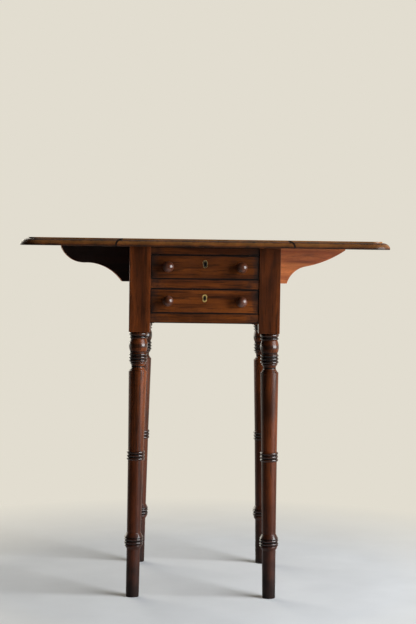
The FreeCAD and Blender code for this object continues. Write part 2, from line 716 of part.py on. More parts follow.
def rule_profile(gap, far):
    """Section of the right rule joint, from its top edge round to the underside, closed at x = far."""
    y = -TOP_EDGE_Y - PAST
    radius = RULE_RADIUS + gap
    top = TABLE_HEIGHT + (PAST if gap else 0)
    foot = UNDERSIDE - (PAST if gap else 0)
    lip = HINGE_Z + math.sqrt(radius ** 2 - gap ** 2)
    start_angle = math.asin(gap / radius)
    middle = (math.pi / 2 + start_angle) / 2
    shoulder = Vector(SEAM_X + gap, y, lip)
    waist = Vector(SEAM_X + radius, y, HINGE_Z)
    through = Vector(SEAM_X + radius * math.sin(middle), y, HINGE_Z + radius * math.cos(middle))
    corner = Vector(SEAM_X + gap, y, top)
    return [
        line(Vector(far, y, top), corner),
        line(corner, shoulder),
        arc(shoulder, through, waist),
        line(waist, Vector(SEAM_X + radius, y, foot)),
        line(Vector(SEAM_X + radius, y, foot), Vector(far, y, foot)),
        line(Vector(far, y, foot), Vector(far, y, top)),
    ]


def make_centre_top():
    """The fixed board of the top, with half of a rule joint along each side."""
    span = Vector(0, 2 * (TOP_EDGE_Y + PAST), 0)
    half = face_of(rule_profile(0, 0)).extrude(span)
    reach = SEAM_X + RULE_RADIUS + PAST
    slab = box(-reach, reach, -TOP_EDGE_Y, TOP_EDGE_Y, UNDERSIDE, TABLE_HEIGHT)
    board = joined([half, mirrored(half)]).common(slab)
    run = Vector(2 * reach, 0, 0)
    front = face_of(edge_cutter(Vector(-reach, -TOP_EDGE_Y, UNDERSIDE), Vector(0, 1, 0))).extrude(run)
    rear = face_of(edge_cutter(Vector(-reach, TOP_EDGE_Y, UNDERSIDE), Vector(0, -1, 0))).extrude(run)
    return board.cut([front, rear])


def leaf_outline(z):
    """Path round the free edges of the right leaf, from the seam at the front to the seam at the rear."""
    corner_x = LEAF_EDGE_X - LEAF_CORNER
    corner_y = TOP_EDGE_Y - LEAF_CORNER
    bend = LEAF_CORNER * math.sqrt(0.5)
    start = Vector(SEAM_X, -TOP_EDGE_Y, z)
    front = Vector(corner_x, -TOP_EDGE_Y, z)
    outer_front = Vector(LEAF_EDGE_X, -corner_y, z)
    outer_rear = Vector(LEAF_EDGE_X, corner_y, z)
    rear = Vector(corner_x, TOP_EDGE_Y, z)
    end = Vector(SEAM_X, TOP_EDGE_Y, z)
    return [
        line(start, front),
        arc(front, Vector(corner_x + bend, -corner_y - bend, z), outer_front),
        line(outer_front, outer_rear),
        arc(outer_rear, Vector(corner_x + bend, corner_y + bend, z), rear),
        line(rear, end),
    ]


def make_leaf():
    """The right leaf, with its moulded edge and the hollow half of the rule joint."""
    path = leaf_outline(UNDERSIDE)
    back = line(Vector(SEAM_X, TOP_EDGE_Y, UNDERSIDE), Vector(SEAM_X, -TOP_EDGE_Y, UNDERSIDE))
    slab = face_of(path + [back]).extrude(Vector(0, 0, TOP_THICKNESS))
    cutter = Part.Wire(edge_cutter(Vector(SEAM_X, -TOP_EDGE_Y, UNDERSIDE), Vector(0, 1, 0)))
    moulding = Part.Wire(path).makePipeShell([cutter], True, False)
    span = Vector(0, 2 * (TOP_EDGE_Y + PAST), 0)
    joint = face_of(rule_profile(RULE_GAP, SEAM_X - PAST)).extrude(span)
    return slab.cut([moulding, joint])


def hinge_knuckle(y0, y1, radius):
    return rod(radius, y1 - y0, Vector(SEAM_X, y0, HINGE_Z), Vector(0, 1, 0))


def make_hinge(y):
    """One right hinge: fixed flap, leaf flap, pin, and what is let into the two boards for it."""
    half = HINGE_WIDTH / 2
    middle = MIDDLE_KNUCKLE / 2
    radius = KNUCKLE_DIAMETER / 2
    flap_top = UNDERSIDE + FLAP_THICKNESS
    room = radius + HINGE_CLEARANCE
    bore = hinge_knuckle(y - half - PAST, y + half + PAST, HINGE_PIN_DIAMETER / 2)
    loose_bore = hinge_knuckle(y - half - PAST, y + half + PAST, HINGE_PIN_DIAMETER / 2 + PIN_CLEARANCE)
    ends = [(y - half, y - middle), (y + middle, y + half)]

    fixed_plate = box(SEAM_X - FIXED_FLAP, SEAM_X, y - half, y + half, UNDERSIDE, flap_top)
    fixed = [fixed_plate] + [hinge_knuckle(y0, y1, radius) for y0, y1 in ends]
    gap = box(SEAM_X - room, SEAM_X + room, y - middle - HINGE_CLEARANCE, y + middle + HINGE_CLEARANCE,
              HINGE_Z - room, HINGE_Z + room)
    fixed_flap = joined(fixed).cut([gap, bore])

    leaf_plate = box(SEAM_X, SEAM_X + LEAF_FLAP, y - half, y + half, UNDERSIDE, flap_top)
    centre_knuckle = hinge_knuckle(y - middle, y + middle, radius)
    tongue = middle - HINGE_CLEARANCE
    clear = []
    for y0, y1 in ((y - half - PAST, y - tongue), (y + tongue, y + half + PAST)):
        clear.append(box(SEAM_X - room, SEAM_X + room, y0, y1, HINGE_Z - room, HINGE_Z + room))
    leaf_flap = joined([leaf_plate, centre_knuckle]).cut(clear + [loose_bore])

    pin = hinge_knuckle(y - half, y + half, HINGE_PIN_DIAMETER / 2)
    groove = hinge_knuckle(y - half - HINGE_CLEARANCE, y + half + HINGE_CLEARANCE, room)
    under_leaf_flap = box(SEAM_X, SEAM_X + RULE_RADIUS + PAST, y - half - HINGE_CLEARANCE,
                          y + half + HINGE_CLEARANCE, UNDERSIDE - PAST, flap_top + FLAP_LIFT_ROOM)
    slot = box(SEAM_X - room, SEAM_X + room, y - half - HINGE_CLEARANCE, y + half + HINGE_CLEARANCE,
               UNDERSIDE - PAST, HINGE_Z)
    return {
        "fixed": fixed_flap,
        "leaf": leaf_flap,
        "pin": pin,
        "centre_cuts": [fixed_plate, groove, under_leaf_flap, slot],
        "leaf_cuts": [leaf_plate],
        "fixed_screws": flap_screws(SEAM_X - FIXED_FLAP + HINGE_SCREW_INSET, y),
        "leaf_screws": flap_screws(SEAM_X + LEAF_FLAP - HINGE_SCREW_INSET, y),
    }


def flap_screws(x, y):
    """Two screws up through a flap."""
    offset = HINGE_WIDTH / 2 - HINGE_SCREW_INSET
    return [wood_screw(HINGE_SCREW).translated(Vector(x, y + side * offset, UNDERSIDE)) for side in (-1, 1)]


def top_screws():
    """Screws up through the right kicker into the top."""
    x = (RUNNER_INSIDE + INNER_X) / 2
    length = TOP_RAIL + TOP_SCREW_BITE
    rows = [Vector(x, row * (INNER_Y - TOP_SCREW_INSET), TOP_RAIL_Z) for row in (-1, 0, 1)]
    return [wood_screw(length).translated(place) for place in rows]


def make_top():
    """Centre board, leaves and hinges; every left piece is the mirror of a right one."""
    hinges = [make_hinge(side * (TOP_EDGE_Y - HINGE_INSET)) for side in (-1, 1)]
    fixed_screws = [screw for hinge in hinges for screw in hinge["fixed_screws"]]
    leaf_screws = [screw for hinge in hinges for screw in hinge["leaf_screws"]]
    centre_cuts = [cut for hinge in hinges for cut in hinge["centre_cuts"]]
    leaf_cuts = [cut for hinge in hinges for cut in hinge["leaf_cuts"]]
    screws = top_screws()

    right_cuts = centre_cuts + fixed_screws + screws
    centre = make_centre_top().cut(right_cuts + [mirrored(cut) for cut in right_cuts])
    leaf = make_leaf().cut(leaf_cuts + leaf_screws)
    fixed_flaps = group([hinge["fixed"].cut(fixed_screws) for hinge in hinges])
    leaf_flaps = group([hinge["leaf"].cut(leaf_screws) for hinge in hinges])
    pins = group([hinge["pin"] for hinge in hinges])
    parts = {
        "centre_top": centre,
        "top_screws": both_sides(group(screws)),
        "centre_hinge_screws": both_sides(group(fixed_screws)),
    }
    for side, place in (("left", mirrored), ("right", Part.Shape.copy)):
        parts[side + "_hinge_flaps"] = place(fixed_flaps)
        parts[side + "_hinge_pins"] = place(pins)
        parts[side + "_leaf"] = place(leaf)
        parts[side + "_leaf_flaps"] = place(leaf_flaps)
        parts[side + "_leaf_screws"] = place(group(leaf_screws))
    return parts


def make_frame():
    """Legs, rails, fly rails and the strips that carry the drawers."""
    rails = {
        "top_front_rail": front_rail(TOP_RAIL_Z, TOP_RAIL),
        "middle_front_rail": front_rail(LOWER_CEILING, MIDDLE_RAIL),
        "bottom_front_rail": front_rail(FRAME_FOOT, BOTTOM_RAIL),
    }
    side_rail = make_side_rail()
    rear = make_rear_panel()
    tenoned = list(rails.values()) + [side_rail, mirrored(side_rail), rear]
    parts = make_legs(tenoned)
    parts.update(rails)

    screws = fly_screws()
    side_rail = side_rail.cut(screws)
    pin = fly_pin(FLY_PIN_DIAMETER / 2)
    parts["left_side_rail"] = mirrored(side_rail)
    parts["right_side_rail"] = side_rail
    parts["left_fly_rail"] = mirrored(make_fly_rail(LEFT_OGEE).cut(screws))
    parts["right_fly_rail"] = make_fly_rail(RIGHT_OGEE).cut(screws)
    parts["left_knuckle_pin"] = mirrored(pin)
    parts["right_knuckle_pin"] = pin
    parts["fly_rail_screws"] = both_sides(group(screws))
    parts["left_fly_bracket"] = mirrored(swung(make_bracket(LEFT_OGEE), LEFT_BRACKET_REST))
    parts["right_fly_bracket"] = swung(make_bracket(RIGHT_OGEE), RIGHT_BRACKET_REST)

    rear_knobs = []
    dummies = {}
    for name, (floor, opening) in DRAWER_PLACES.items():
        dummies[name + "_dummy_front"] = dummy_front(floor, opening)
        for side in (-1, 1):
            rear_knobs.append(make_knob(side * KNOB_X, REAR_FACE, floor + opening / 2, 1))
    parts["rear_panel"] = rear.cut(list(dummies.values()) + rear_knobs)
    for name, front in dummies.items():
        parts[name] = front.cut(rear_knobs)
    parts["rear_knobs"] = group(rear_knobs)

    kicker = bearer(TOP_RAIL_Z, TOP_RAIL).cut(top_screws())
    parts["drawer_kickers"] = both_sides(kicker)
    parts["upper_drawer_runners"] = both_sides(bearer(LOWER_CEILING, MIDDLE_RAIL))
    parts["lower_drawer_runners"] = both_sides(bearer(FRAME_FOOT, BOTTOM_RAIL))
    parts["upper_drawer_guides"] = both_sides(guide(UPPER_FLOOR))
    parts["lower_drawer_guides"] = both_sides(guide(LOWER_FLOOR))
    parts["upper_drawer_stops"] = stops(UPPER_FLOOR)
    parts["lower_drawer_stops"] = stops(LOWER_FLOOR)
    return parts


def main():
    os.makedirs("parts", exist_ok=True)
    parts = make_frame()
    parts.update(make_top())
    for name, (floor, opening) in DRAWER_PLACES.items():
        parts.update(make_drawer(name, floor, opening))
    for name, shape in parts.items():
        shape.exportStep("parts/" + name + ".step")
    print(len(parts), "pieces written")


main()
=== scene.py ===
"""Looks of a small drop-leaf work table in old polished mahogany.

The boards are softened copies of the solid parts, the legs and knobs are turned afresh from the solid
parts' own outlines, and the screws get slotted heads. Everything is in metres, in the solid parts' frame.
"""
import json
import math

import bmesh
import bpy
from bpy.props import FloatProperty, FloatVectorProperty, IntProperty, PointerProperty
from mathutils import Euler, Matrix, Vector

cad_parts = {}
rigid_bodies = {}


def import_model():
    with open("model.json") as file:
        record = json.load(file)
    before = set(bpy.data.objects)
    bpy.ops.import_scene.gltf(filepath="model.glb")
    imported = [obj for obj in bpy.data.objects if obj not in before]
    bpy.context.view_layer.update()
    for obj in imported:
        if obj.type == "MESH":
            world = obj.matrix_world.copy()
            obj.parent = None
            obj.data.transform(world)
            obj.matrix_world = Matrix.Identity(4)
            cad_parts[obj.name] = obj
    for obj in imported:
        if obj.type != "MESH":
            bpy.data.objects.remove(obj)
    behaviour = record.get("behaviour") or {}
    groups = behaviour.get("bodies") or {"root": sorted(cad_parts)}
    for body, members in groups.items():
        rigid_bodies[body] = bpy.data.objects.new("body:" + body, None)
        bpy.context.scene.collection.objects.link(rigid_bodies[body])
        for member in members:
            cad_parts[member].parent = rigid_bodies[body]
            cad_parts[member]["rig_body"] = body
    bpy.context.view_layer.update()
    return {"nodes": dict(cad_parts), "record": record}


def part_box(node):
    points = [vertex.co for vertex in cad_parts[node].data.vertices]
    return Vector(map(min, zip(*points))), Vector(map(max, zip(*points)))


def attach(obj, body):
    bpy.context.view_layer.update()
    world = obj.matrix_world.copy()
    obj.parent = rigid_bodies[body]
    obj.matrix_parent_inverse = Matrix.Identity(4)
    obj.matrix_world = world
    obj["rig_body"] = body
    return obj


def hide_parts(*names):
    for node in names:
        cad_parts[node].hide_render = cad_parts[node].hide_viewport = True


bl_info = {
    "name": "Drop-leaf work table",
    "version": (1, 0, 0),
    "blender": (4, 5, 0),
    "location": "3D View > Sidebar > Work table",
    "description": "Dresses the parts of a drop-leaf work table in polished wood, brass and iron",
    "category": "Object",
}

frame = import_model()

MM = 0.001
SAME_POINT = 1e-6  # points closer than this are one
SAME_LEVEL = 1e-5  # points whose heights differ by less than this are level
FLAT_BEND = math.radians(0.1)  # faces that meet at less than this are one
ROUNDED_BEND = math.radians(30)  # outer edges that bend by more are rounded
SHARP_BEND = math.radians(40)  # edges that bend by more after that are shaded as sharp
EASED_BEND = math.radians(25)  # corners of a turned outline that bend by more are eased
TURNING_STEP = 0.02 * MM  # the heights of a turned outline are taken in steps of this
KNOB_SPOKES = 64
SHANK_SHARE = 0.52  # a screw's shank against its head
CAMERA_PLACE = (-0.026, -3.152, 0.718)
CAMERA_TURN = (0.635, -2.74, 0.814)  # yaw, pitch and roll in degrees
FLOOR_FADE = (0.42, 1.0)  # the distances between which the floor fades into the backdrop
FLOOR_DROP = 0.5 * MM  # keeps the floor clear of the feet


def srgb(*levels):
    """A screen colour, 0 to 255, as the linear colour that a material takes."""
    shares = [level / 255 for level in levels]
    return tuple(share / 12.92 if share <= 0.04045 else ((share + 0.055) / 1.055) ** 2.4 for share in shares)


def colour(name, description, default):
    return FloatVectorProperty(name=name, description=description, default=default, subtype="COLOR",
                               size=3, min=0.0, max=1.0)


def number(name, description, default, **kind):
    return FloatProperty(name=name, description=description, default=default, **{"min": 0.0, **kind})


def length(name, description, default):
    return number(name, description, default, subtype="DISTANCE", unit="LENGTH")


class WoodColours(bpy.types.PropertyGroup):
    """Colours of the polished, the raw and the lining wood."""
    light: colour("Light figure", "Lighter bands of the polished mahogany", srgb(112, 57, 18))
    dark: colour("Dark figure", "Darker bands of the polished mahogany", srgb(60, 27, 8))
    streak: colour("Streaks", "Dark streaks along the grain", srgb(20, 9, 3))
    # old wax: also the colour of the painted shade along the lower edge of the top's rim and low on the legs
    wax: colour("Old wax", "Wax and dirt left in grooves and corners", srgb(8, 5, 3))
    rubbed: colour("Rubbed arris", "Edges rubbed paler by hands", srgb(126, 68, 28))
    # faded rim: faded wood, and also painted highlight where it is laid on the upper part of the rim
    faded: colour("Faded rim", "Moulded rim of the top, faded by light", srgb(150, 102, 56))
    leg: colour("Legs", "Redder wood of the legs", srgb(118, 57, 21))
    # lower legs: painted shade, darker and redder towards the floor
    low_leg_shade: colour("Lower legs", "Darker, redder wood low on the legs", srgb(46, 18, 12))
    knob: colour("Knobs", "Darker wood of the knobs", srgb(86, 56, 46))
    # bracket colours: the right bracket's raw wood is also paled as painted light, and the left bracket's
    # wood is a painted-shade copy of it
    bracket: colour("Right bracket", "Raw wood of the right bracket", srgb(212, 121, 60))
    bracket_dark: colour("Right bracket shade", "Darker bands of the right bracket", srgb(150, 72, 30))
    shaded_left_bracket: colour("Left bracket", "Darker wood of the left bracket", srgb(54, 27, 12))
    shaded_left_bracket_dark: colour("Left bracket shade", "Darker bands of the left bracket", srgb(28, 13, 6))
    # sawn edge: raw end grain, made paler also as painted light on the brackets' edges
    sawn: colour("Sawn edge", "Raw sawn edge of the brackets", srgb(196, 116, 60))
    lining: colour("Drawer lining", "Plain wood inside the frame and drawers", srgb(168, 124, 78))
    lining_dark: colour("Lining shade", "Darker bands of the plain wood", srgb(122, 84, 50))


class MetalColours(bpy.types.PropertyGroup):
    """Colours of the brass and iron."""
    brass: colour("Brass", "Worn brass of the keyholes and locks", srgb(240, 208, 128))
    tarnish: colour("Tarnish", "Brown tarnish on the brass", srgb(20, 13, 7))
    iron: colour("Iron", "Bright iron of the hinges", srgb(150, 148, 146))
    rust: colour("Rust", "Brown skin on the iron", srgb(66, 42, 28))


class EdgeSizes(bpy.types.PropertyGroup):
    """How far sharp edges are softened, and how the turned work is made."""
    board: length("Board arris", "Rounding along the edges of rails, posts and drawers", 0.7 * MM)
    top: length("Top arris", "Rounding along the edges of the top and leaves", 0.5 * MM)
    turned: length("Turned arris", "Rounding of the corners on turned work", 0.35 * MM)
    metal: length("Metal arris", "Rounding along the edges of brass and iron", 0.25 * MM)
    slot: length("Screw slot", "Width of the slot in a screw head", 0.9 * MM)
    spokes: IntProperty(name="Turning steps", description="Faces round a turned leg", default=96, min=12)
    splay: number("Leg splay", "How far the turned legs lean outwards", math.radians(0.7),
                  subtype="ANGLE", unit="ROTATION")


class StageLooks(bpy.types.PropertyGroup):
    """Floor, backdrop, lamps and camera."""
    floor: colour("Floor", "Pale floor near the table", srgb(220, 221, 223))
    backdrop: colour("Backdrop", "Pale wall colour behind the table", srgb(226, 221, 208))
    room: colour("Room", "Dim room on the camera's side", srgb(50, 47, 43))
    window: colour("Window", "Colour of the daylight from the right", (0.93, 0.97, 1.0))
    window_power: number("Window power", "Strength of the light from the right", 190.0, unit="POWER")
    wall_power: number("Wall power", "Strength of the light thrown back from behind", 85.0, unit="POWER")
    fill: number("Fill", "Strength of the light from the rest of the room", 0.2, max=1.0, subtype="FACTOR")
    lens: number("Lens", "Focal length of the camera", 86.3, min=1.0, unit="CAMERA")


class WorkTable(bpy.types.PropertyGroup):
    """All settings of the table."""
    wood: PointerProperty(type=WoodColours)
    metal: PointerProperty(type=MetalColours)
    edges: PointerProperty(type=EdgeSizes)
    stage: PointerProperty(type=StageLooks)


def settings():
    return bpy.context.scene.work_table


# Node helpers

def feed(tree, inputs, values):
    """Links inputs to the sockets given for them, or sets them to the values given."""
    for name, value in values.items():
        if isinstance(value, bpy.types.NodeSocket):
            tree.links.new(value, inputs[name])
        else:
            inputs[name].default_value = value


def add(tree, kind, values=None, **options):
    """Adds a node, sets its options and feeds its inputs."""
    made = tree.nodes.new(kind)
    made.location = (180 * (len(tree.nodes) - 1), 0)
    for option, value in options.items():
        setattr(made, option, value)
    feed(tree, made.inputs, values or {})
    return made


def opaque(tint, tone=1.0):
    """A colour with its alpha, as a colour socket takes it; tone makes it paler or darker."""
    return (*(tone * level for level in tint), 1.0)


def maths(tree, operation, first, second=0.0):
    return add(tree, "ShaderNodeMath", {0: first, 1: second}, operation=operation).outputs[0]


def times(tree, first, second):
    return maths(tree, "MULTIPLY", first, second)


def larger(tree, first, second):
    return maths(tree, "MAXIMUM", first, second)


def vector_maths(tree, operation, first, second=(0, 0, 0)):
    made = add(tree, "ShaderNodeVectorMath", {0: first, 1: second}, operation=operation)
    return made.outputs["Value" if operation == "LENGTH" else "Vector"]


def separate(tree, vector):
    return add(tree, "ShaderNodeSeparateXYZ", {0: vector}).outputs


def attribute(tree, name):
    """What the mesh says of itself under a name."""
    return add(tree, "ShaderNodeAttribute", attribute_name=name).outputs["Fac"]


def mixed(tree, factor, first, second):
    return add(tree, "ShaderNodeMix", {"Factor": factor, 6: first, 7: second}, data_type="RGBA").outputs[2]


def ramp(tree, value, low, high, to_low=0.0, to_high=1.0):
    """A value spread from one range to another and held at its ends."""
    return add(tree, "ShaderNodeMapRange", {"Value": value, "From Min": low, "From Max": high,
                                            "To Min": to_low, "To Max": to_high}).outputs[0]


def noise(tree, vector, scale, detail, distortion=0.0):
    return add(tree, "ShaderNodeTexNoise", {"Vector": vector, "Scale": scale, "Detail": detail,
                                            "Distortion": distortion}).outputs["Fac"]


def mapped(tree, vector, **moves):
    """A vector moved, turned or scaled."""
    values = {name.capitalize(): value for name, value in moves.items()}
    return add(tree, "ShaderNodeMapping", {"Vector": vector, **values}).outputs[0]


def bump(tree, height, distance, strength=1.0):
    return add(tree, "ShaderNodeBump", {"Height": height, "Distance": distance,
                                        "Strength": strength}).outputs[0]


# Shader groups: each function fills in the group of its name, and gives what goes to its outputs

def wood_grain(tree, given):
    """Wood figure: broad bands, dark streaks, fine lines and pores, all drawn out along Z."""
    def drawn_out(share, *look):
        return noise(tree, mapped(tree, given["Vector"], scale=(1, 1, share)), *look)

    bands = drawn_out(0.08, 42, 4, 0.8)
    lines = drawn_out(0.07, 300, 6, 0.6)
    hairs = drawn_out(0.02, 1300, 2)
    pores = drawn_out(0.07, 2600, 1)
    figure = mixed(tree, ramp(tree, bands, 0.36, 0.64), given["Dark"], given["Light"])
    mask = times(tree, ramp(tree, lines, 0.53, 0.66), given["Streaks"])
    streaked = mixed(tree, mask, figure, given["Streak"])
    lined = mixed(tree, ramp(tree, hairs, 0.35, 0.7, 0.0, 0.35), streaked, given["Dark"])
    pored = mixed(tree, ramp(tree, pores, 0.6, 0.7, 0.0, 0.45), lined, given["Streak"])
    depth = times(tree, ramp(tree, pores, 0.55, 0.7), -0.6)
    return {"Color": pored, "Height": maths(tree, "ADD", depth, times(tree, hairs, 0.4))}


def old_polish(tree, given):
    """Old polish: grease in patches, wax colour in the hollows and as painted shade, arrises rubbed pale."""
    patches = noise(tree, given["Vector"], 17, 5, 0.4)
    smears = noise(tree, given["Vector"], 90, 4)
    grease = times(tree, ramp(tree, patches, 0.46, 0.7), given["Grease"])
    greased = mixed(tree, grease, given["Color"], given["Wax"])
    worn = times(tree, ramp(tree, smears, 0.38, 0.62), given["Arris"])
    rubbed = mixed(tree, worn, greased, given["Rubbed"])
    waxed = mixed(tree, given["Hollow"], rubbed, given["Wax"])
    dull = times(tree, given["Hollow"], 0.45)
    return {"Color": waxed, "Roughness": maths(tree, "ADD", ramp(tree, smears, 0.3, 0.7, 0.34, 0.46), dull)}


def board_corners(tree, given):
    """Darkening on a board: ragged towards its ends, and a dark line along its ends and edges."""
    away = vector_maths(tree, "ABSOLUTE", vector_maths(tree, "SUBTRACT", given["Vector"], given["Centre"]))
    room = separate(tree, vector_maths(tree, "SUBTRACT", given["Half"], away))
    ragged = ramp(tree, noise(tree, given["Vector"], 60, 4), 0.3, 0.7, -0.4, 0.4)
    ends = maths(tree, "ADD", maths(tree, "DIVIDE", room["X"], given["Ends"]), ragged)
    edges = maths(tree, "DIVIDE", maths(tree, "MINIMUM", room["X"], room["Z"]), given["Line"])
    return {"Mask": larger(tree, ramp(tree, ends, 0.0, 1.0, 0.9, 0.0), ramp(tree, edges, 0.3, 1.0, 1.0, 0.0))}


def joint_dirt(tree, given):
    """Dirt along the two rule joints of the top: a dark line that follows the joint's quarter round."""
    def absolute(value):
        return maths(tree, "ABSOLUTE", value)

    def line(distance):
        return ramp(tree, maths(tree, "DIVIDE", distance, given["Line"]), 0.35, 1.0, 1.0, 0.0)

    sides = separate(tree, given["Vector"])
    across = maths(tree, "SUBTRACT", absolute(sides["X"]), given["Seam"])
    above = maths(tree, "SUBTRACT", sides["Z"], given["Pivot"])
    squares = maths(tree, "ADD", maths(tree, "POWER", absolute(across), 2.0),
                    maths(tree, "POWER", absolute(above), 2.0))
    off_round = absolute(maths(tree, "SUBTRACT", maths(tree, "SQRT", squares), given["Radius"]))
    outside = maths(tree, "GREATER_THAN", across, 0.0)
    upper = maths(tree, "GREATER_THAN", above, given["Radius"])
    straight = times(tree, upper, line(absolute(across)))
    return {"Mask": larger(tree, times(tree, outside, line(off_round)), straight)}


def foot_dirt_and_shade(tree, given):
    """Grime on a leg towards the floor, also standing in for shade there, and painted shade that darkens its
    lower part.
    """
    height = maths(tree, "DIVIDE", separate(tree, given["Vector"])["Z"], given["Height"])
    uneven = ramp(tree, noise(tree, given["Vector"], 45, 4), 0.3, 0.7, -0.25, 0.25)
    ragged = maths(tree, "ADD", height, uneven)
    return {"Mask": ramp(tree, ragged, 0.0, 1.0, 0.85, 0.0), "Shade": ramp(tree, ragged, 0.5, 3.5, 0.7, 0.0)}


GROUP_SOCKETS = {
    wood_grain: ("Vector Light Dark Streak Streaks", "Color Height"),
    old_polish: ("Vector Color Wax Rubbed Arris Hollow Grease", "Color Roughness"),
    board_corners: ("Vector Centre Half Ends Line", "Mask"),
    joint_dirt: ("Vector Seam Pivot Radius Line", "Mask"),
    foot_dirt_and_shade: ("Vector Height", "Mask Shade"),
}
VECTOR_SOCKETS = ("Vector", "Centre", "Half")
COLOUR_SOCKETS = ("Light", "Dark", "Streak", "Color", "Wax", "Rubbed")


def new_group(fill):
    """A shader group with the sockets listed for it, filled in by its function."""
    tree = bpy.data.node_groups.new(fill.__name__, "ShaderNodeTree")
    for way, labels in zip(("INPUT", "OUTPUT"), GROUP_SOCKETS[fill]):
        for label in labels.split():
            kind = "Vector" if label in VECTOR_SOCKETS else "Color" if label in COLOUR_SOCKETS else "Float"
            tree.interface.new_socket(label, in_out=way, socket_type="NodeSocket" + kind)
    made = fill(tree, add(tree, "NodeGroupInput").outputs)
    add(tree, "NodeGroupOutput", made)
    return tree


def use(tree, fill, **values):
    """Places a shader group, made when it is first needed, and feeds its inputs."""
    group = bpy.data.node_groups.get(fill.__name__) or new_group(fill)
    return add(tree, "ShaderNodeGroup", values, node_tree=group).outputs


# Materials

def new_material(name):
    """A material with its node tree, its shader's inputs and the place on the piece."""
    made = bpy.data.materials.new(name)
    made.use_nodes = True
    tree = made.node_tree
    tree.nodes.clear()
    shader = add(tree, "ShaderNodeBsdfPrincipled")
    add(tree, "ShaderNodeOutputMaterial", {"Surface": shader.outputs[0]})
    place = add(tree, "ShaderNodeTexCoord").outputs["Object"]
    return made, tree, shader.inputs, place


GRAIN_TURNS = {"x": (0, -math.pi / 2, 0), "y": (math.pi / 2, 0, 0), "z": (0, 0, 0)}


def polished(name, grain, streaks, grease=0.5, coat=0.12, offset=(0, 0, 0), light=None, tone=1.0,
             board=None, ends=0.02, joints=False, dirt_and_shade_height=0.0, rub=1.0, haze=0.09):
    """Polished mahogany with its grain along an axis.

    board names the part whose corners are darkened, joints puts dirt along the top's rule joints and a faded
    rim round it, with painted highlight on the rim's upper part and painted shade along its lower edge, grime
    is the height to which a leg is dirty and darkened by painted shade, rub is how far its arrises are rubbed
    pale, and haze is how soft its shine is.
    """
    wood = settings().wood
    made, tree, shader, place = new_material(name)
    turned = mapped(tree, place, rotation=GRAIN_TURNS[grain], location=offset)
    figure = use(tree, wood_grain, Vector=turned, Light=opaque(light or wood.light, tone),
                 Dark=opaque(wood.dark, tone), Streak=opaque(wood.streak), Streaks=streaks)
    bead, crown, hollow, arris = (attribute(tree, mark) for mark in ("bead", "crown", "hollow", "arris"))
    stain = larger(tree, times(tree, bead, 0.9), times(tree, crown, 0.65))
    shown = mixed(tree, stain, figure["Color"], opaque(wood.streak))
    if board:
        low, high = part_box(board)
        corners = use(tree, board_corners, Vector=place, Centre=(low + high) / 2, Half=(high - low) / 2,
                      Ends=ends, Line=2.4 * MM)
        hollow = larger(tree, hollow, corners["Mask"])
    if joints:
        low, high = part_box("centre_top")
        rim = attribute(tree, "rim")
        height = separate(tree, place)["Z"]
        # painted highlight: the faded colour is laid on the upper part of the rim, where light catches it
        pale = ramp(tree, height, low.z + 2 * MM, high.z - 4 * MM, 0.0, 0.75)
        shown = mixed(tree, times(tree, rim, pale), shown, opaque(wood.faded, tone))
        # painted shade: the lower edge of the rim is darkened with the wax colour
        rim_foot_shade = ramp(tree, height, low.z + 1 * MM, low.z + 5 * MM, 0.75, 0.0)
        hollow = larger(tree, hollow, times(tree, rim, rim_foot_shade))
        seam, _, pivot = next(joint["pos_m"] for joint in frame["record"]["behaviour"]["joints"]
                              if joint["name"] == "right_leaf_lift")
        dirt = use(tree, joint_dirt, Vector=place, Seam=seam, Pivot=pivot, Radius=high.x - seam + 0.35 * MM,
                   Line=2.8 * MM)
        hollow = larger(tree, hollow, dirt["Mask"])
    # painted shade: the legs darken towards the floor, and the grime near the floor is partly painted shade
    if dirt_and_shade_height:
        low_down = use(tree, foot_dirt_and_shade, Vector=place, Height=dirt_and_shade_height)
        shown = mixed(tree, low_down["Shade"], shown, opaque(wood.low_leg_shade))
        hollow = larger(tree, hollow, low_down["Mask"])
    aged = use(tree, old_polish, Vector=turned, Color=shown, Wax=opaque(wood.wax), Rubbed=opaque(wood.rubbed),
               Arris=times(tree, arris, rub), Hollow=hollow, Grease=grease)
    feed(tree, shader, {"Base Color": aged["Color"], "Roughness": aged["Roughness"],
                        "Coat Weight": ramp(tree, crown, 0.0, 1.0, coat, 0.7), "Coat Roughness": haze,
                        "Specular IOR Level": 0.15, "Normal": bump(tree, figure["Height"], 0.1 * MM, 0.25)})
    return made


def raw_wood(name, grain_turn, light, dark, sawn=None):
    """Unpolished wood with its grain turned to lie along the piece; sawn is the colour of its sawn edges."""
    wood = settings().wood
    made, tree, shader, place = new_material(name)
    turned = mapped(tree, place, rotation=grain_turn)
    figure = use(tree, wood_grain, Vector=turned, Light=opaque(light), Dark=opaque(dark),
                 Streak=opaque(wood.dark), Streaks=0.4)
    shown = figure["Color"]
    # the sawn edges: paler raw wood that also stands in for light falling on them
    if sawn:
        shown = mixed(tree, times(tree, attribute(tree, "rim"), 0.75), shown, opaque(sawn))
    aged = use(tree, old_polish, Vector=turned, Color=shown, Wax=opaque(wood.dark), Rubbed=opaque(light),
               Grease=0.3)
    feed(tree, shader, {"Base Color": aged["Color"], "Roughness": maths(tree, "ADD", aged["Roughness"], 0.28),
                        "Normal": bump(tree, figure["Height"], 0.15 * MM)})
    return made


def lining_wood(name, grain):
    """Plain wood of the drawers' linings and the strips inside the frame."""
    wood = settings().wood
    return raw_wood(name, GRAIN_TURNS[grain], wood.lining, wood.lining_dark)


def skinned(tree, shader, mask, bright, skin, roughness, metallic, normal):
    """Metal under a dull skin; each pair is for the bright metal and for the skin."""
    feed(tree, shader, {"Base Color": mixed(tree, mask, opaque(bright), opaque(skin)),
                        "Roughness": ramp(tree, mask, 0.0, 1.0, *roughness),
                        "Metallic": ramp(tree, mask, 0.0, 1.0, *metallic), "Normal": normal})


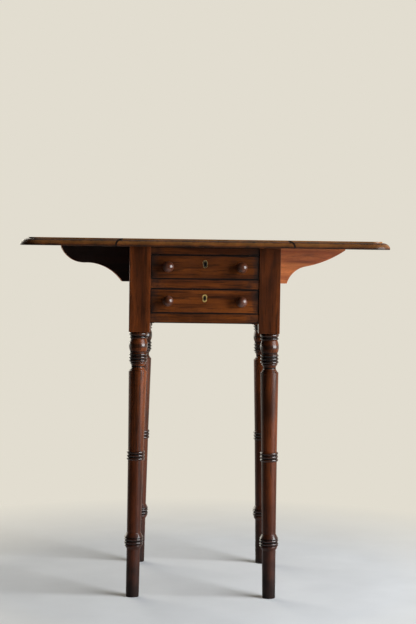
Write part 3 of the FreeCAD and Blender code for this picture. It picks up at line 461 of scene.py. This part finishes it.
def worn_brass(name, tarnished, plate=None):
    """Brass with brown tarnish in patches and bright rubbed edges.

    plate names a part that is dark round the keyhole in its middle.
    """
    metal = settings().metal
    made, tree, shader, place = new_material(name)
    patches = noise(tree, place, 420, 4)
    mask = times(tree, ramp(tree, patches, 0.62 - 0.5 * tarnished, 0.86 - 0.4 * tarnished),
                 ramp(tree, attribute(tree, "arris"), 0.0, 1.0, 1.0, 0.25))
    if plate:
        low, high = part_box(plate)
        half = (high - low) / 2
        offset = vector_maths(tree, "SUBTRACT", place, (low + high) / 2)
        flat = vector_maths(tree, "MULTIPLY", offset, (1 / half.x, 0, 1 / half.z))
        keyhole = ramp(tree, vector_maths(tree, "LENGTH", flat), 0.6, 0.75, 1.0, 0.0)
        mask = larger(tree, mask, keyhole)
    skinned(tree, shader, mask, metal.brass, metal.tarnish, (0.34, 0.6), (0.7, 0.2),
            bump(tree, patches, 0.05 * MM))
    return made


def old_iron(name):
    """Wrought iron with a brown skin, bright where it is rubbed."""
    metal = settings().metal
    made, tree, shader, place = new_material(name)
    skin = noise(tree, place, 160, 5, 0.3)
    pits = noise(tree, place, 1500, 3)
    mask = times(tree, ramp(tree, skin, 0.38, 0.58), ramp(tree, attribute(tree, "arris"), 0.0, 1.0, 1.0, 0.3))
    skinned(tree, shader, mask, metal.iron, metal.rust, (0.38, 0.72), (1.0, 0.15), bump(tree, pits, 0.1 * MM))
    return made


# Mesh helpers

def link(data, name):
    piece = bpy.data.objects.new(name, data)
    bpy.context.scene.collection.objects.link(piece)
    return piece


def solid_mesh(node):
    """A working copy of a solid part's mesh, with its points joined up."""
    work = bmesh.new()
    work.from_mesh(frame["nodes"][node].data)
    bmesh.ops.remove_doubles(work, verts=work.verts, dist=SAME_POINT)
    return work


def piece_from(work, name):
    """A piece made from a working mesh, which is used up."""
    mesh = bpy.data.meshes.new(name)
    work.to_mesh(mesh)
    work.free()
    return link(mesh, name)


def finished(piece):
    """The piece with its modifiers worked into a plain mesh."""
    graph = bpy.context.evaluated_depsgraph_get()
    mesh = bpy.data.meshes.new_from_object(piece.evaluated_get(graph), preserve_all_data_layers=True,
                                           depsgraph=graph)
    mesh.name = piece.name
    piece.modifiers.clear()
    piece.data = mesh
    return piece


def stand_for(piece, node, material):
    """Gives a piece its material and puts it in the place of a solid part."""
    piece.data.materials.clear()
    piece.data.materials.append(material)
    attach(piece, frame["nodes"][node]["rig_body"])
    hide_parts(node)


def crowded(work, edges, room):
    """Those of the edges that run beside another on the same face, too close to round both."""
    close = set()
    for face in work.faces:
        rim = [edge for edge in face.edges if edge in edges]
        for count, edge in enumerate(rim):
            start = edge.verts[0].co
            run = edge.verts[1].co - start
            way = run.normalized()
            for other in rim[count + 1:]:
                near, far = (vert.co - start for vert in other.verts)
                if abs(way.dot(far - near)) < 0.9 * (far - near).length:
                    continue
                first, last = sorted((near.dot(way), far.dot(way)))
                overlaps = min(last, run.length) - max(first, 0.0) > 0.02 * MM
                if overlaps and (near - way * near.dot(way)).length < room:
                    close.update((edge, other))
    return close


def round_off(work, corners, arris):
    """Rounds edges of a working mesh and marks the new faces as rubbed."""
    rubbed = work.faces.layers.float["arris"]
    rounded = bmesh.ops.bevel(work, geom=corners, offset=arris, offset_type="OFFSET", segments=2,
                              profile=0.5, affect="EDGES", clamp_overlap=False)
    for face in rounded["faces"]:
        face[rubbed] = 1.0


def evenly_shaded(work, name):
    """A piece made from a working mesh and shaded smoothly, apart from the sharp bends left in it."""
    for face in work.faces:
        face.smooth = True
    for edge in work.edges:
        edge.smooth = edge.calc_face_angle(0.0) < SHARP_BEND
    piece = piece_from(work, name)
    piece.modifiers.new("even shading", "WEIGHTED_NORMAL").keep_sharp = True
    return finished(piece)


def softened(node, arris, broad=None):
    """A copy of a solid part whose sharp edges are rounded and marked for wear.

    broad is the way that its broad faces look; faces that look elsewhere are marked as its rim.
    """
    work = solid_mesh(node)
    bmesh.ops.dissolve_limit(work, angle_limit=FLAT_BEND, verts=work.verts, edges=work.edges)
    work.faces.layers.float.new("arris")
    if broad:
        rim = work.faces.layers.float.new("rim")
        for face in work.faces:
            face[rim] = 1.0 if abs(face.normal.dot(broad)) < 0.8 else 0.0
    corners = {edge for edge in work.edges if len(edge.link_faces) == 2 and edge.is_convex
               and edge.calc_face_angle() > ROUNDED_BEND}
    corners -= crowded(work, corners, 2.2 * arris)
    round_off(work, [edge for edge in work.edges if edge in corners], arris)
    return evenly_shaded(work, node + "_dressed")


def dress(node, arris, material, broad=None):
    """Puts a softened copy with a material in the place of a solid part."""
    stand_for(softened(node, arris, broad), node, material)


def corners_of(points):
    """The lowest and the highest corner of the box round some points."""
    return [Vector([pick(point[axis] for point in points) for axis in range(3)]) for pick in (min, max)]


def islands(work):
    """The points of each separate solid in a working mesh, in the mesh's own order."""
    reached = set()
    found = []
    for seed in work.verts:
        if seed in reached:
            continue
        reached.add(seed)
        queue, solid = [seed], []
        while queue:
            vert = queue.pop()
            solid.append(vert.co.copy())
            for edge in vert.link_edges:
                other = edge.other_vert(vert)
                if other not in reached:
                    reached.add(other)
                    queue.append(other)
        found.append(solid)
    return found


# Turned work

def eased(outline, amount):
    """An outline of points whose corners are rounded off a little."""
    done = [outline[0]]
    for before, corner, after in zip(outline, outline[1:], outline[2:]):
        back, on = before - corner, after - corner
        if back.length < 1e-7 or on.length < 1e-7:
            continue
        if math.pi - back.angle(on) < EASED_BEND:
            done.append(corner)
            continue
        start, end = (corner + side.normalized() * min(amount, side.length * 0.45) for side in (back, on))
        if back.length > 4 * amount:
            done.append(corner + back.normalized() * 2 * amount)
        done += [start, (start + end) / 4 + corner / 2, end]
        if on.length > 4 * amount:
            done.append(corner + on.normalized() * 2 * amount)
    done.append(outline[-1])
    return done


def thinned(points, slack):
    """Leaves out points that lie on the line between their neighbours."""
    keep = {0, len(points) - 1}
    spans = [(0, len(points) - 1)]
    while spans:
        first, last = spans.pop()
        chord = points[last] - points[first]
        worst, where = slack, None
        for index in range(first + 1, last):
            rise = points[index] - points[first]
            off = abs(rise.x * chord.y - rise.y * chord.x) / chord.length
            if off > worst:
                worst, where = off, index
        if where is not None:
            keep.add(where)
            spans += [(first, where), (where, last)]
    return [points[index] for index in sorted(keep)]


def turned_outline(points):
    """Radius and height pairs of a turned piece, from foot to crown, one for each change of slope."""
    levels = {}
    for radius, height in points:
        levels.setdefault(round(height / TURNING_STEP), set()).add(round(radius, 6))
    ordered = []
    for level in sorted(levels):
        radii = sorted(levels[level])
        if ordered and abs(ordered[-1].x - radii[-1]) < abs(ordered[-1].x - radii[0]):
            radii.reverse()
        for radius in (radii if len(radii) < 3 else (radii[0], radii[-1])):
            ordered.append(Vector((radius, level * TURNING_STEP)))
    return thinned(ordered, 0.012 * MM)


def standing_out(outline, reach, sign, least, span):
    """How far each point stands out over both its sides, from 0 to 1; with sign -1, how far it lies below."""
    shares = []
    for point in outline:
        below = min(sign * other.x for other in outline if 0 <= point.y - other.y <= reach)
        above = min(sign * other.x for other in outline if 0 <= other.y - point.y <= reach)
        shares.append(min(1.0, max(0.0, (sign * point.x - max(below, above) - least) / span)))
    return shares


def spun(work, outline, place, spokes, reach):
    """Spins an outline round a line; place turns radius, angle and height into a point."""
    layers = work.verts.layers.float
    marks = [(layers.get(name) or layers.new(name), shares) for name, shares in (
        ("hollow", standing_out(outline, reach, -1, 0.3 * MM, 1.2 * MM)),
        ("crown", standing_out(outline, 2.4 * reach, 1, 0.4 * MM, 1.4 * MM)),
        ("bead", standing_out(outline, 0.6 * reach, 1, 0.4 * MM, 1.4 * MM)))]
    rings = []
    for index, point in enumerate(outline):
        ring = [work.verts.new(place(point.x, 2 * math.pi * step / spokes, point.y))
                for step in range(spokes)]
        for vert in ring:
            for layer, shares in marks:
                vert[layer] = shares[index]
        rings.append(ring)
    for low, high in zip(rings, rings[1:]):
        for step in range(spokes):
            ahead = (step + 1) % spokes
            work.faces.new((low[step], low[ahead], high[ahead], high[step]))
    work.faces.new(list(reversed(rings[0])))
    work.faces.new(rings[-1])


def make_leg(node, material):
    """A leg: the turned part spun from the solid leg's outline, and the square post softened over it."""
    edges = settings().edges
    verts = [vert.co for vert in frame["nodes"][node].data.vertices]
    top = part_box(node)[1].z
    low, high = corners_of([co for co in verts if co.z > top - SAME_LEVEL])
    axis = (low + high) / 2
    half = (high.y - low.y) / 2
    post_foot = min(co.z for co in verts if abs(abs(co.y - axis.y) - half) < SAME_POINT)
    low, high = corners_of([co for co in verts if co.z < SAME_LEVEL])
    splay = -math.copysign(edges.splay, axis.x)
    lean = Matrix.Translation((low + high) / 2) @ Matrix.Rotation(splay, 4, "Y")
    upright = [lean.inverted() @ co for co in verts if co.z < post_foot - SAME_LEVEL]
    outline = turned_outline([(math.hypot(co.x, co.y), co.z) for co in upright if co.z > 0.5 * MM])
    outline.insert(0, Vector(((high.y - low.y) / 2, -0.5 * MM)))
    outline.append(Vector((outline[-1].x, post_foot + MM)))

    def standing(radius, angle, height):
        """A point on the leaning leg, level with the floor at its foot."""
        point = lean @ Vector((radius * math.cos(angle), radius * math.sin(angle), height))
        return Vector((point.x, point.y, max(0.0, point.z)))

    work = bmesh.new()
    spun(work, eased(outline, edges.turned), standing, edges.spokes, 6 * MM)
    work.faces.layers.float.new("arris")
    post = bmesh.ops.create_cube(work, size=1.0)["verts"]
    for vert in post:
        vert.co = Vector((axis.x + vert.co.x * 2 * half, axis.y + vert.co.y * 2 * half,
                          post_foot if vert.co.z < 0 else top))
    round_off(work, list(dict.fromkeys(edge for vert in post for edge in vert.link_edges)), edges.board)
    stand_for(evenly_shaded(work, node + "_turned"), node, material)


def make_knobs(node, facing, material):
    """The knobs of one part, spun from the solid knobs' outline; facing is the side they point to."""
    solid = solid_mesh(node)
    work = bmesh.new()
    for knob in islands(solid):
        low, high = corners_of(knob)
        axis = (low + high) / 2
        base = low.y if facing > 0 else high.y
        points = [(math.hypot(co.x - axis.x, co.z - axis.z), (co.y - base) * facing) for co in knob]

        def standing(radius, angle, height):
            """A point on this knob."""
            return Vector((axis.x - facing * radius * math.cos(angle), base + facing * height,
                           axis.z + radius * math.sin(angle)))

        spun(work, eased(turned_outline(points), settings().edges.turned), standing, KNOB_SPOKES, 3 * MM)
    solid.free()
    for face in work.faces:
        face.smooth = True
    bmesh.ops.recalc_face_normals(work, faces=work.faces)
    stand_for(piece_from(work, node + "_turned"), node, material)


# Steps

class StepOperator(bpy.types.Operator):
    """Shared manners of the table's steps."""
    bl_options = {"REGISTER", "UNDO"}

    def execute(self, context):
        self.make()
        return {"FINISHED"}


class WORKTABLE_OT_legs(StepOperator):
    """Turns the four legs"""
    bl_idname = "worktable.legs"
    bl_label = "Legs"

    def make(self):
        legs = ("front_left_leg", "front_right_leg", "rear_left_leg", "rear_right_leg")
        for count, node in enumerate(legs):
            make_leg(node, polished("mahogany_" + node, "z", streaks=0.65, grease=0.35, dirt_and_shade_height=0.13, rub=0.25,
                                    offset=(0.4 * count, 0.1, 0), light=settings().wood.leg))


class WORKTABLE_OT_rails(StepOperator):
    """Softens the rails and the rear of the frame"""
    bl_idname = "worktable.rails"
    bl_label = "Rails and rear"

    def make(self):
        arris = settings().edges.board
        for node, tone in (("top_front_rail", 1.0), ("middle_front_rail", 1.2), ("bottom_front_rail", 1.05),
                           ("rear_panel", 1.0), ("upper_dummy_front", 0.9), ("lower_dummy_front", 1.1)):
            material = polished("mahogany_" + node, "x", streaks=0.7, tone=tone, board=node, ends=0.05)
            thin = node == "rear_panel"  # only a thin edge is left beside its sunk panels
            dress(node, 0.2 * arris if thin else arris, material)


def along_blade(bracket):
    """The turn that brings a bracket in line with X, from its pin's side to its tip."""
    low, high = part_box(bracket)
    outer = low.x if abs(low.x) > abs(high.x) else high.x
    verts = [vert.co for vert in frame["nodes"][bracket].data.vertices]
    tip = [co for co in verts if abs(co.x - outer) < 30 * MM]
    root = [co for co in verts if abs(co.x) < min(abs(low.x), abs(high.x)) + 30 * MM]
    run = sum(tip, Vector()) / len(tip) - sum(root, Vector()) / len(root)
    return Matrix.Rotation(-math.atan(run.y / run.x), 3, "Z")


class WORKTABLE_OT_fly_work(StepOperator):
    """Softens the fly rails and their swinging brackets"""
    bl_idname = "worktable.fly_work"
    bl_label = "Fly rails and brackets"

    def make(self):
        wood = settings().wood
        arris = settings().edges.board
        polish = polished("mahogany_fly_rails", "y", streaks=0.6, grease=0.6)
        # the left bracket takes the dark painted-shade copy of the brackets' wood, the right one the paler
        # lit copy
        for side, light, dark in (("left", wood.shaded_left_bracket, wood.shaded_left_bracket_dark),
                                  ("right", wood.bracket, wood.bracket_dark)):
            dress(side + "_fly_rail", arris, polish)
            bracket = side + "_fly_bracket"
            level = along_blade(bracket)
            turn = tuple((Euler(GRAIN_TURNS["x"]).to_matrix() @ level).to_euler())
            raw = raw_wood("raw_" + bracket, turn, light, dark, sawn=wood.sawn)
            dress(bracket, arris, raw, broad=level.inverted() @ Vector((0, 1, 0)))


class WORKTABLE_OT_drawers(StepOperator):
    """Softens the drawers' boards"""
    bl_idname = "worktable.drawers"
    bl_label = "Drawers"

    def make(self):
        arris = settings().edges.board
        along = lining_wood("lining_along", "y")
        across = lining_wood("lining_across", "x")
        linings = {"left_side": along, "right_side": along, "back": across, "bottom": across}
        # painted shade: the upper drawer is toned darker, as in shade under the top, and the lower one paler
        for drawer, shift, tone in (("upper_drawer_", 0.0, 0.8), ("lower_drawer_", 0.37, 1.1)):
            front = drawer + "front"
            material = polished("mahogany_" + front, "x", streaks=0.7, grease=0.4, offset=(0.2, shift, shift),
                                tone=tone, board=front, ends=0.016)
            dress(front, arris, material)
            for part, raw in linings.items():
                dress(drawer + part, arris * 0.6, raw)


class WORKTABLE_OT_knobs(StepOperator):
    """Turns the knobs"""
    bl_idname = "worktable.knobs"
    bl_label = "Knobs"

    def make(self):
        material = polished("dark_knob_wood", "y", streaks=0.3, grease=0.2, coat=0.7, tone=1.3, haze=0.2,
                            light=settings().wood.knob)
        for drawer in ("upper", "lower"):
            for side in ("left", "right"):
                make_knobs(drawer + "_drawer_" + side + "_knob", -1, material)
        make_knobs("rear_knobs", 1, material)


class WORKTABLE_OT_top(StepOperator):
    """Softens the centre board and the leaves"""
    bl_idname = "worktable.top"
    bl_label = "Top and leaves"

    def make(self):
        arris = settings().edges.top
        # painted shade: the tones make the left leaf darkest and the right leaf palest, as light falls from
        # the right
        boards = (("centre_top", 0.92), ("left_leaf", 0.74), ("right_leaf", 0.96))
        for count, (node, tone) in enumerate(boards):
            material = polished("mahogany_" + node, "y", streaks=0.75, grease=0.4, offset=(0.3 * count, 0, 0),
                                tone=tone, joints=True)
            dress(node, arris, material, broad=Vector((0, 0, 1)))


class WORKTABLE_OT_metal(StepOperator):
    """Softens the hinges, pins, keyhole plates and locks"""
    bl_idname = "worktable.metal"
    bl_label = "Brass and iron"

    def make(self):
        arris = settings().edges.metal
        iron = old_iron("old_iron")
        for side in ("left", "right"):
            for part in ("_hinge_flaps", "_leaf_flaps", "_hinge_pins", "_knuckle_pin"):
                dress(side + part, arris, iron)
        for name, tarnished in (("upper", 1.0), ("lower", 0.1)):
            plate = name + "_drawer_escutcheon"
            dress(plate, arris, worn_brass("brass_" + plate, tarnished, plate))
            lock = name + "_drawer_lock"
            dress(lock, arris, worn_brass("brass_" + lock, 1.0))


class WORKTABLE_OT_inside(StepOperator):
    """Gives the hidden strips of the frame their plain wood"""
    bl_idname = "worktable.inside"
    bl_label = "Inside of the frame"

    def make(self):
        plain = lining_wood("plain_strips", "y")
        strips = [drawer + part for part in ("runners", "guides", "stops")
                  for drawer in ("upper_drawer_", "lower_drawer_")]
        for node in ["left_side_rail", "right_side_rail", "drawer_kickers"] + strips:
            mesh = frame["nodes"][node].data
            mesh.materials.clear()
            mesh.materials.append(plain)


def screw_tree():
    """Geometry nodes that stand a slotted wood screw on each point of a mesh, facing as the point says."""
    tree = bpy.data.node_groups.new("slotted_screws", "GeometryNodeTree")
    for label, kind in (("Geometry", "Geometry"), ("Head", "Float"), ("Shank", "Float"), ("Length", "Float"),
                        ("Slot", "Float"), ("Material", "Material")):
        tree.interface.new_socket(label, in_out="INPUT", socket_type="NodeSocket" + kind)
    tree.interface.new_socket("Geometry", in_out="OUTPUT", socket_type="NodeSocketGeometry")
    given = add(tree, "NodeGroupInput").outputs
    head, shank = given["Head"], given["Shank"]

    def cone(sides, top, bottom, depth, foot):
        """A round part of the screw; foot is how far its lower end lies below the face of the head."""
        made = add(tree, "GeometryNodeMeshCone", {"Vertices": sides, "Radius Top": top,
                                                  "Radius Bottom": bottom, "Depth": depth}).outputs["Mesh"]
        down = add(tree, "ShaderNodeCombineXYZ", {"Z": times(tree, foot, -1)}).outputs[0]
        return add(tree, "GeometryNodeTransform", {"Geometry": made, "Translation": down}).outputs[0]

    depth = maths(tree, "SUBTRACT", head, shank)
    point = times(tree, shank, 2)
    straight = maths(tree, "SUBTRACT", maths(tree, "SUBTRACT", given["Length"], depth), point)
    size = add(tree, "ShaderNodeCombineXYZ", {"X": times(tree, head, 3), "Y": given["Slot"],
                                              "Z": depth}).outputs[0]
    blade = add(tree, "GeometryNodeMeshCube", {"Size": size}).outputs["Mesh"]
    slotted = add(tree, "GeometryNodeMeshBoolean", {0: cone(32, head, shank, depth, depth), 1: blade},
                  operation="DIFFERENCE").outputs[0]
    screw = add(tree, "GeometryNodeJoinGeometry")
    for part in (slotted, cone(16, shank, shank, straight, maths(tree, "ADD", depth, straight)),
                 cone(16, shank, times(tree, shank, 0.25), point, given["Length"])):
        tree.links.new(part, screw.inputs[0])
    facing = add(tree, "GeometryNodeInputNamedAttribute", {"Name": "facing"}, data_type="FLOAT_VECTOR")
    aligned = add(tree, "FunctionNodeAlignRotationToVector", {"Vector": facing.outputs[0]}, axis="Z")
    turn = add(tree, "FunctionNodeRandomValue", {3: math.pi, "Seed": 7}, data_type="FLOAT")
    spin = add(tree, "FunctionNodeAxisAngleToRotation", {"Axis": (0, 0, 1), "Angle": turn.outputs[1]})
    rotation = add(tree, "FunctionNodeRotateRotation", {"Rotation": aligned.outputs[0],
                                                        "Rotate By": spin.outputs[0]}, rotation_space="LOCAL")
    placed = add(tree, "GeometryNodeInstanceOnPoints", {
        "Points": given["Geometry"], "Instance": screw.outputs[0], "Rotation": rotation.outputs[0]})
    real = add(tree, "GeometryNodeRealizeInstances", {"Geometry": placed.outputs[0]})
    dressed = add(tree, "GeometryNodeSetMaterial", {"Geometry": real.outputs[0],
                                                    "Material": given["Material"]})
    add(tree, "NodeGroupOutput", {"Geometry": dressed.outputs[0]})
    return tree


def screw_places(node):
    """Middle of each screw's head and the way it faces, and the head radius and length that they share."""
    work = solid_mesh(node)
    heads, facings = [], []
    for solid in islands(work):
        low, high = corners_of(solid)
        size = high - low
        along = max(range(3), key=lambda axis: size[axis])
        middle = (low + high) / 2
        spread = {}
        for end, sign in ((low[along], -1), (high[along], 1)):
            spread[sign] = max((co - middle).length for co in solid if abs(co[along] - end) < SAME_LEVEL)
        sign = max(spread, key=spread.get)
        facing = Vector((0, 0, 0))
        facing[along] = sign
        middle[along] = low[along] if sign < 0 else high[along]
        heads.append(middle)
        facings.append(facing)
        screw_length = size[along]
        head = max(size[axis] for axis in range(3) if axis != along) / 2
    work.free()
    return heads, facings, head, screw_length


class WORKTABLE_OT_screws(StepOperator):
    """Stands slotted screws in the fly rails, the hinges and the top"""
    bl_idname = "worktable.screws"
    bl_label = "Screws"

    def make(self):
        tree = screw_tree()
        ids = {item.name: item.identifier for item in tree.interface.items_tree if item.in_out == "INPUT"}
        iron = old_iron("screw_iron")
        for held in ("fly_rail", "top", "centre_hinge", "left_leaf", "right_leaf"):
            node = held + "_screws"
            heads, facings, head, screw_length = screw_places(node)
            mesh = bpy.data.meshes.new(node + "_slotted")
            mesh.from_pydata([tuple(place) for place in heads], [], [])
            mark = mesh.attributes.new("facing", "FLOAT_VECTOR", "POINT")
            for index, facing in enumerate(facings):
                mark.data[index].vector = facing
            piece = link(mesh, node + "_slotted")
            nodes = piece.modifiers.new("screws", "NODES")
            nodes.node_group = tree
            for label, value in (("Head", head), ("Shank", head * SHANK_SHARE), ("Length", screw_length),
                                 ("Slot", settings().edges.slot), ("Material", iron)):
                nodes[ids[label]] = value
            stand_for(finished(piece), node, iron)


# Stage

def make_floor():
    """A wide pale floor that keeps the shadow near the table and fades into the backdrop."""
    looks = settings().stage
    work = bmesh.new()
    bmesh.ops.create_grid(work, x_segments=1, y_segments=1, size=30)
    floor = piece_from(work, "floor")
    floor.data.transform(Matrix.Translation((0, 0, -FLOOR_DROP)))
    made, tree, shader, place = new_material("pale_floor")
    speckle = ramp(tree, noise(tree, place, 7, 5), 0.3, 0.7)
    shade = mixed(tree, speckle, opaque(looks.floor, 0.92), opaque(looks.floor))
    feed(tree, shader, {"Base Color": shade, "Roughness": 0.85, "Specular IOR Level": 0.1})
    flat = vector_maths(tree, "MULTIPLY", place, (1, 1, 0))
    away = ramp(tree, vector_maths(tree, "LENGTH", flat), *FLOOR_FADE)
    path = add(tree, "ShaderNodeLightPath").outputs
    shine = larger(tree, path["Is Glossy Ray"], path["Is Transmission Ray"])
    seen = larger(tree, path["Is Camera Ray"], shine)
    behind = ramp(tree, separate(tree, place)["Y"], -0.3, 0.6)
    pale = larger(tree, path["Is Camera Ray"], behind)
    around = mixed(tree, pale, opaque(looks.room), opaque(looks.backdrop))
    glow = add(tree, "ShaderNodeEmission", {"Color": around, "Strength": 1.0}).outputs[0]
    surface = tree.get_output_node("ALL").inputs["Surface"]
    blend = add(tree, "ShaderNodeMixShader", {0: times(tree, seen, away),
                                              1: surface.links[0].from_socket, 2: glow})
    tree.links.new(blend.outputs[0], surface)
    floor.data.materials.append(made)


def make_world():
    """A pale backdrop for the camera, and a dim room, paler behind and to the right, that gives light."""
    looks = settings().stage
    world = bpy.data.worlds.new("room")
    bpy.context.scene.world = world
    world.use_nodes = True
    tree = world.node_tree
    tree.nodes.clear()
    way = separate(tree, add(tree, "ShaderNodeTexCoord").outputs["Generated"])
    wall = times(tree, ramp(tree, way["Y"], -0.1, 0.7), ramp(tree, way["X"], -0.5, 0.2))
    around = mixed(tree, wall, opaque(looks.room), opaque(looks.backdrop))
    path = add(tree, "ShaderNodeLightPath").outputs
    shine = larger(tree, path["Is Glossy Ray"], path["Is Transmission Ray"])
    strength = larger(tree, shine, looks.fill)
    lit = add(tree, "ShaderNodeBackground", {"Color": around, "Strength": strength})
    seen = add(tree, "ShaderNodeBackground", {"Color": opaque(looks.backdrop), "Strength": 1.0})
    both = add(tree, "ShaderNodeMixShader", {0: path["Is Camera Ray"], 1: lit.outputs[0],
                                             2: seen.outputs[0]})
    add(tree, "ShaderNodeOutputWorld", {"Surface": both.outputs[0]})


def make_lamp(name, place, target, size, power, tint):
    """A rectangular lamp that faces a point."""
    lamp = bpy.data.lights.new(name, "AREA")
    lamp.shape = "RECTANGLE"
    lamp.size, lamp.size_y = size
    lamp.energy = power
    lamp.color = tint
    thing = link(lamp, name)
    thing.location = place
    thing.rotation_euler = (Vector(target) - thing.location).to_track_quat("-Z", "Y").to_euler()


def make_camera():
    """The camera stands in front of the table at the height of its top, looking a little down."""
    lens = bpy.data.cameras.new("camera")
    lens.sensor_width = 36
    lens.lens = settings().stage.lens
    camera = link(lens, "camera")
    yaw, pitch, roll = (math.radians(angle) for angle in CAMERA_TURN)
    forward = Vector((math.sin(yaw) * math.cos(pitch), math.cos(yaw) * math.cos(pitch), math.sin(pitch)))
    level = Vector((math.cos(yaw), -math.sin(yaw), 0))
    upright = level.cross(forward)
    right = level * math.cos(roll) + upright * math.sin(roll)
    up = upright * math.cos(roll) - level * math.sin(roll)
    turn = Matrix((right, up, -forward)).transposed().to_4x4()
    camera.matrix_world = Matrix.Translation(CAMERA_PLACE) @ turn
    bpy.context.scene.camera = camera


class WORKTABLE_OT_stage(StepOperator):
    """Lays the floor, hangs the lamps and sets up the camera"""
    bl_idname = "worktable.stage"
    bl_label = "Stage"

    def make(self):
        looks = settings().stage
        bpy.context.scene.view_settings.view_transform = "Standard"
        make_floor()
        make_world()
        make_lamp("window", place=(2.5, -1.25, 1.1), target=(0.0, -0.1, 0.5), size=(2.2, 2.0),
                  power=looks.window_power, tint=looks.window)
        make_lamp("wall", place=(-1.9, 2.4, 1.3), target=(0.0, 0.1, 0.5), size=(2.4, 1.8),
                  power=looks.wall_power, tint=looks.backdrop)
        make_camera()


STEPS = (WORKTABLE_OT_stage, WORKTABLE_OT_legs, WORKTABLE_OT_rails, WORKTABLE_OT_fly_work,
         WORKTABLE_OT_drawers, WORKTABLE_OT_knobs, WORKTABLE_OT_top, WORKTABLE_OT_metal,
         WORKTABLE_OT_inside, WORKTABLE_OT_screws)


class WORKTABLE_PT_panel(bpy.types.Panel):
    """Lists the steps that dress the table"""
    bl_idname = "WORKTABLE_PT_panel"
    bl_label = "Work table"
    bl_space_type = "VIEW_3D"
    bl_region_type = "UI"
    bl_category = "Work table"

    def draw(self, context):
        for step in STEPS:
            self.layout.operator(step.bl_idname)


CLASSES = (WoodColours, MetalColours, EdgeSizes, StageLooks, WorkTable) + STEPS + (WORKTABLE_PT_panel,)


def register():
    for item in CLASSES:
        bpy.utils.register_class(item)
    bpy.types.Scene.work_table = PointerProperty(type=WorkTable)


def unregister():
    del bpy.types.Scene.work_table
    for item in reversed(CLASSES):
        bpy.utils.unregister_class(item)


def main():
    register()
    for step in STEPS:
        group, name = step.bl_idname.split(".")
        getattr(getattr(bpy.ops, group), name)()


if __name__ == "__main__":
    main()
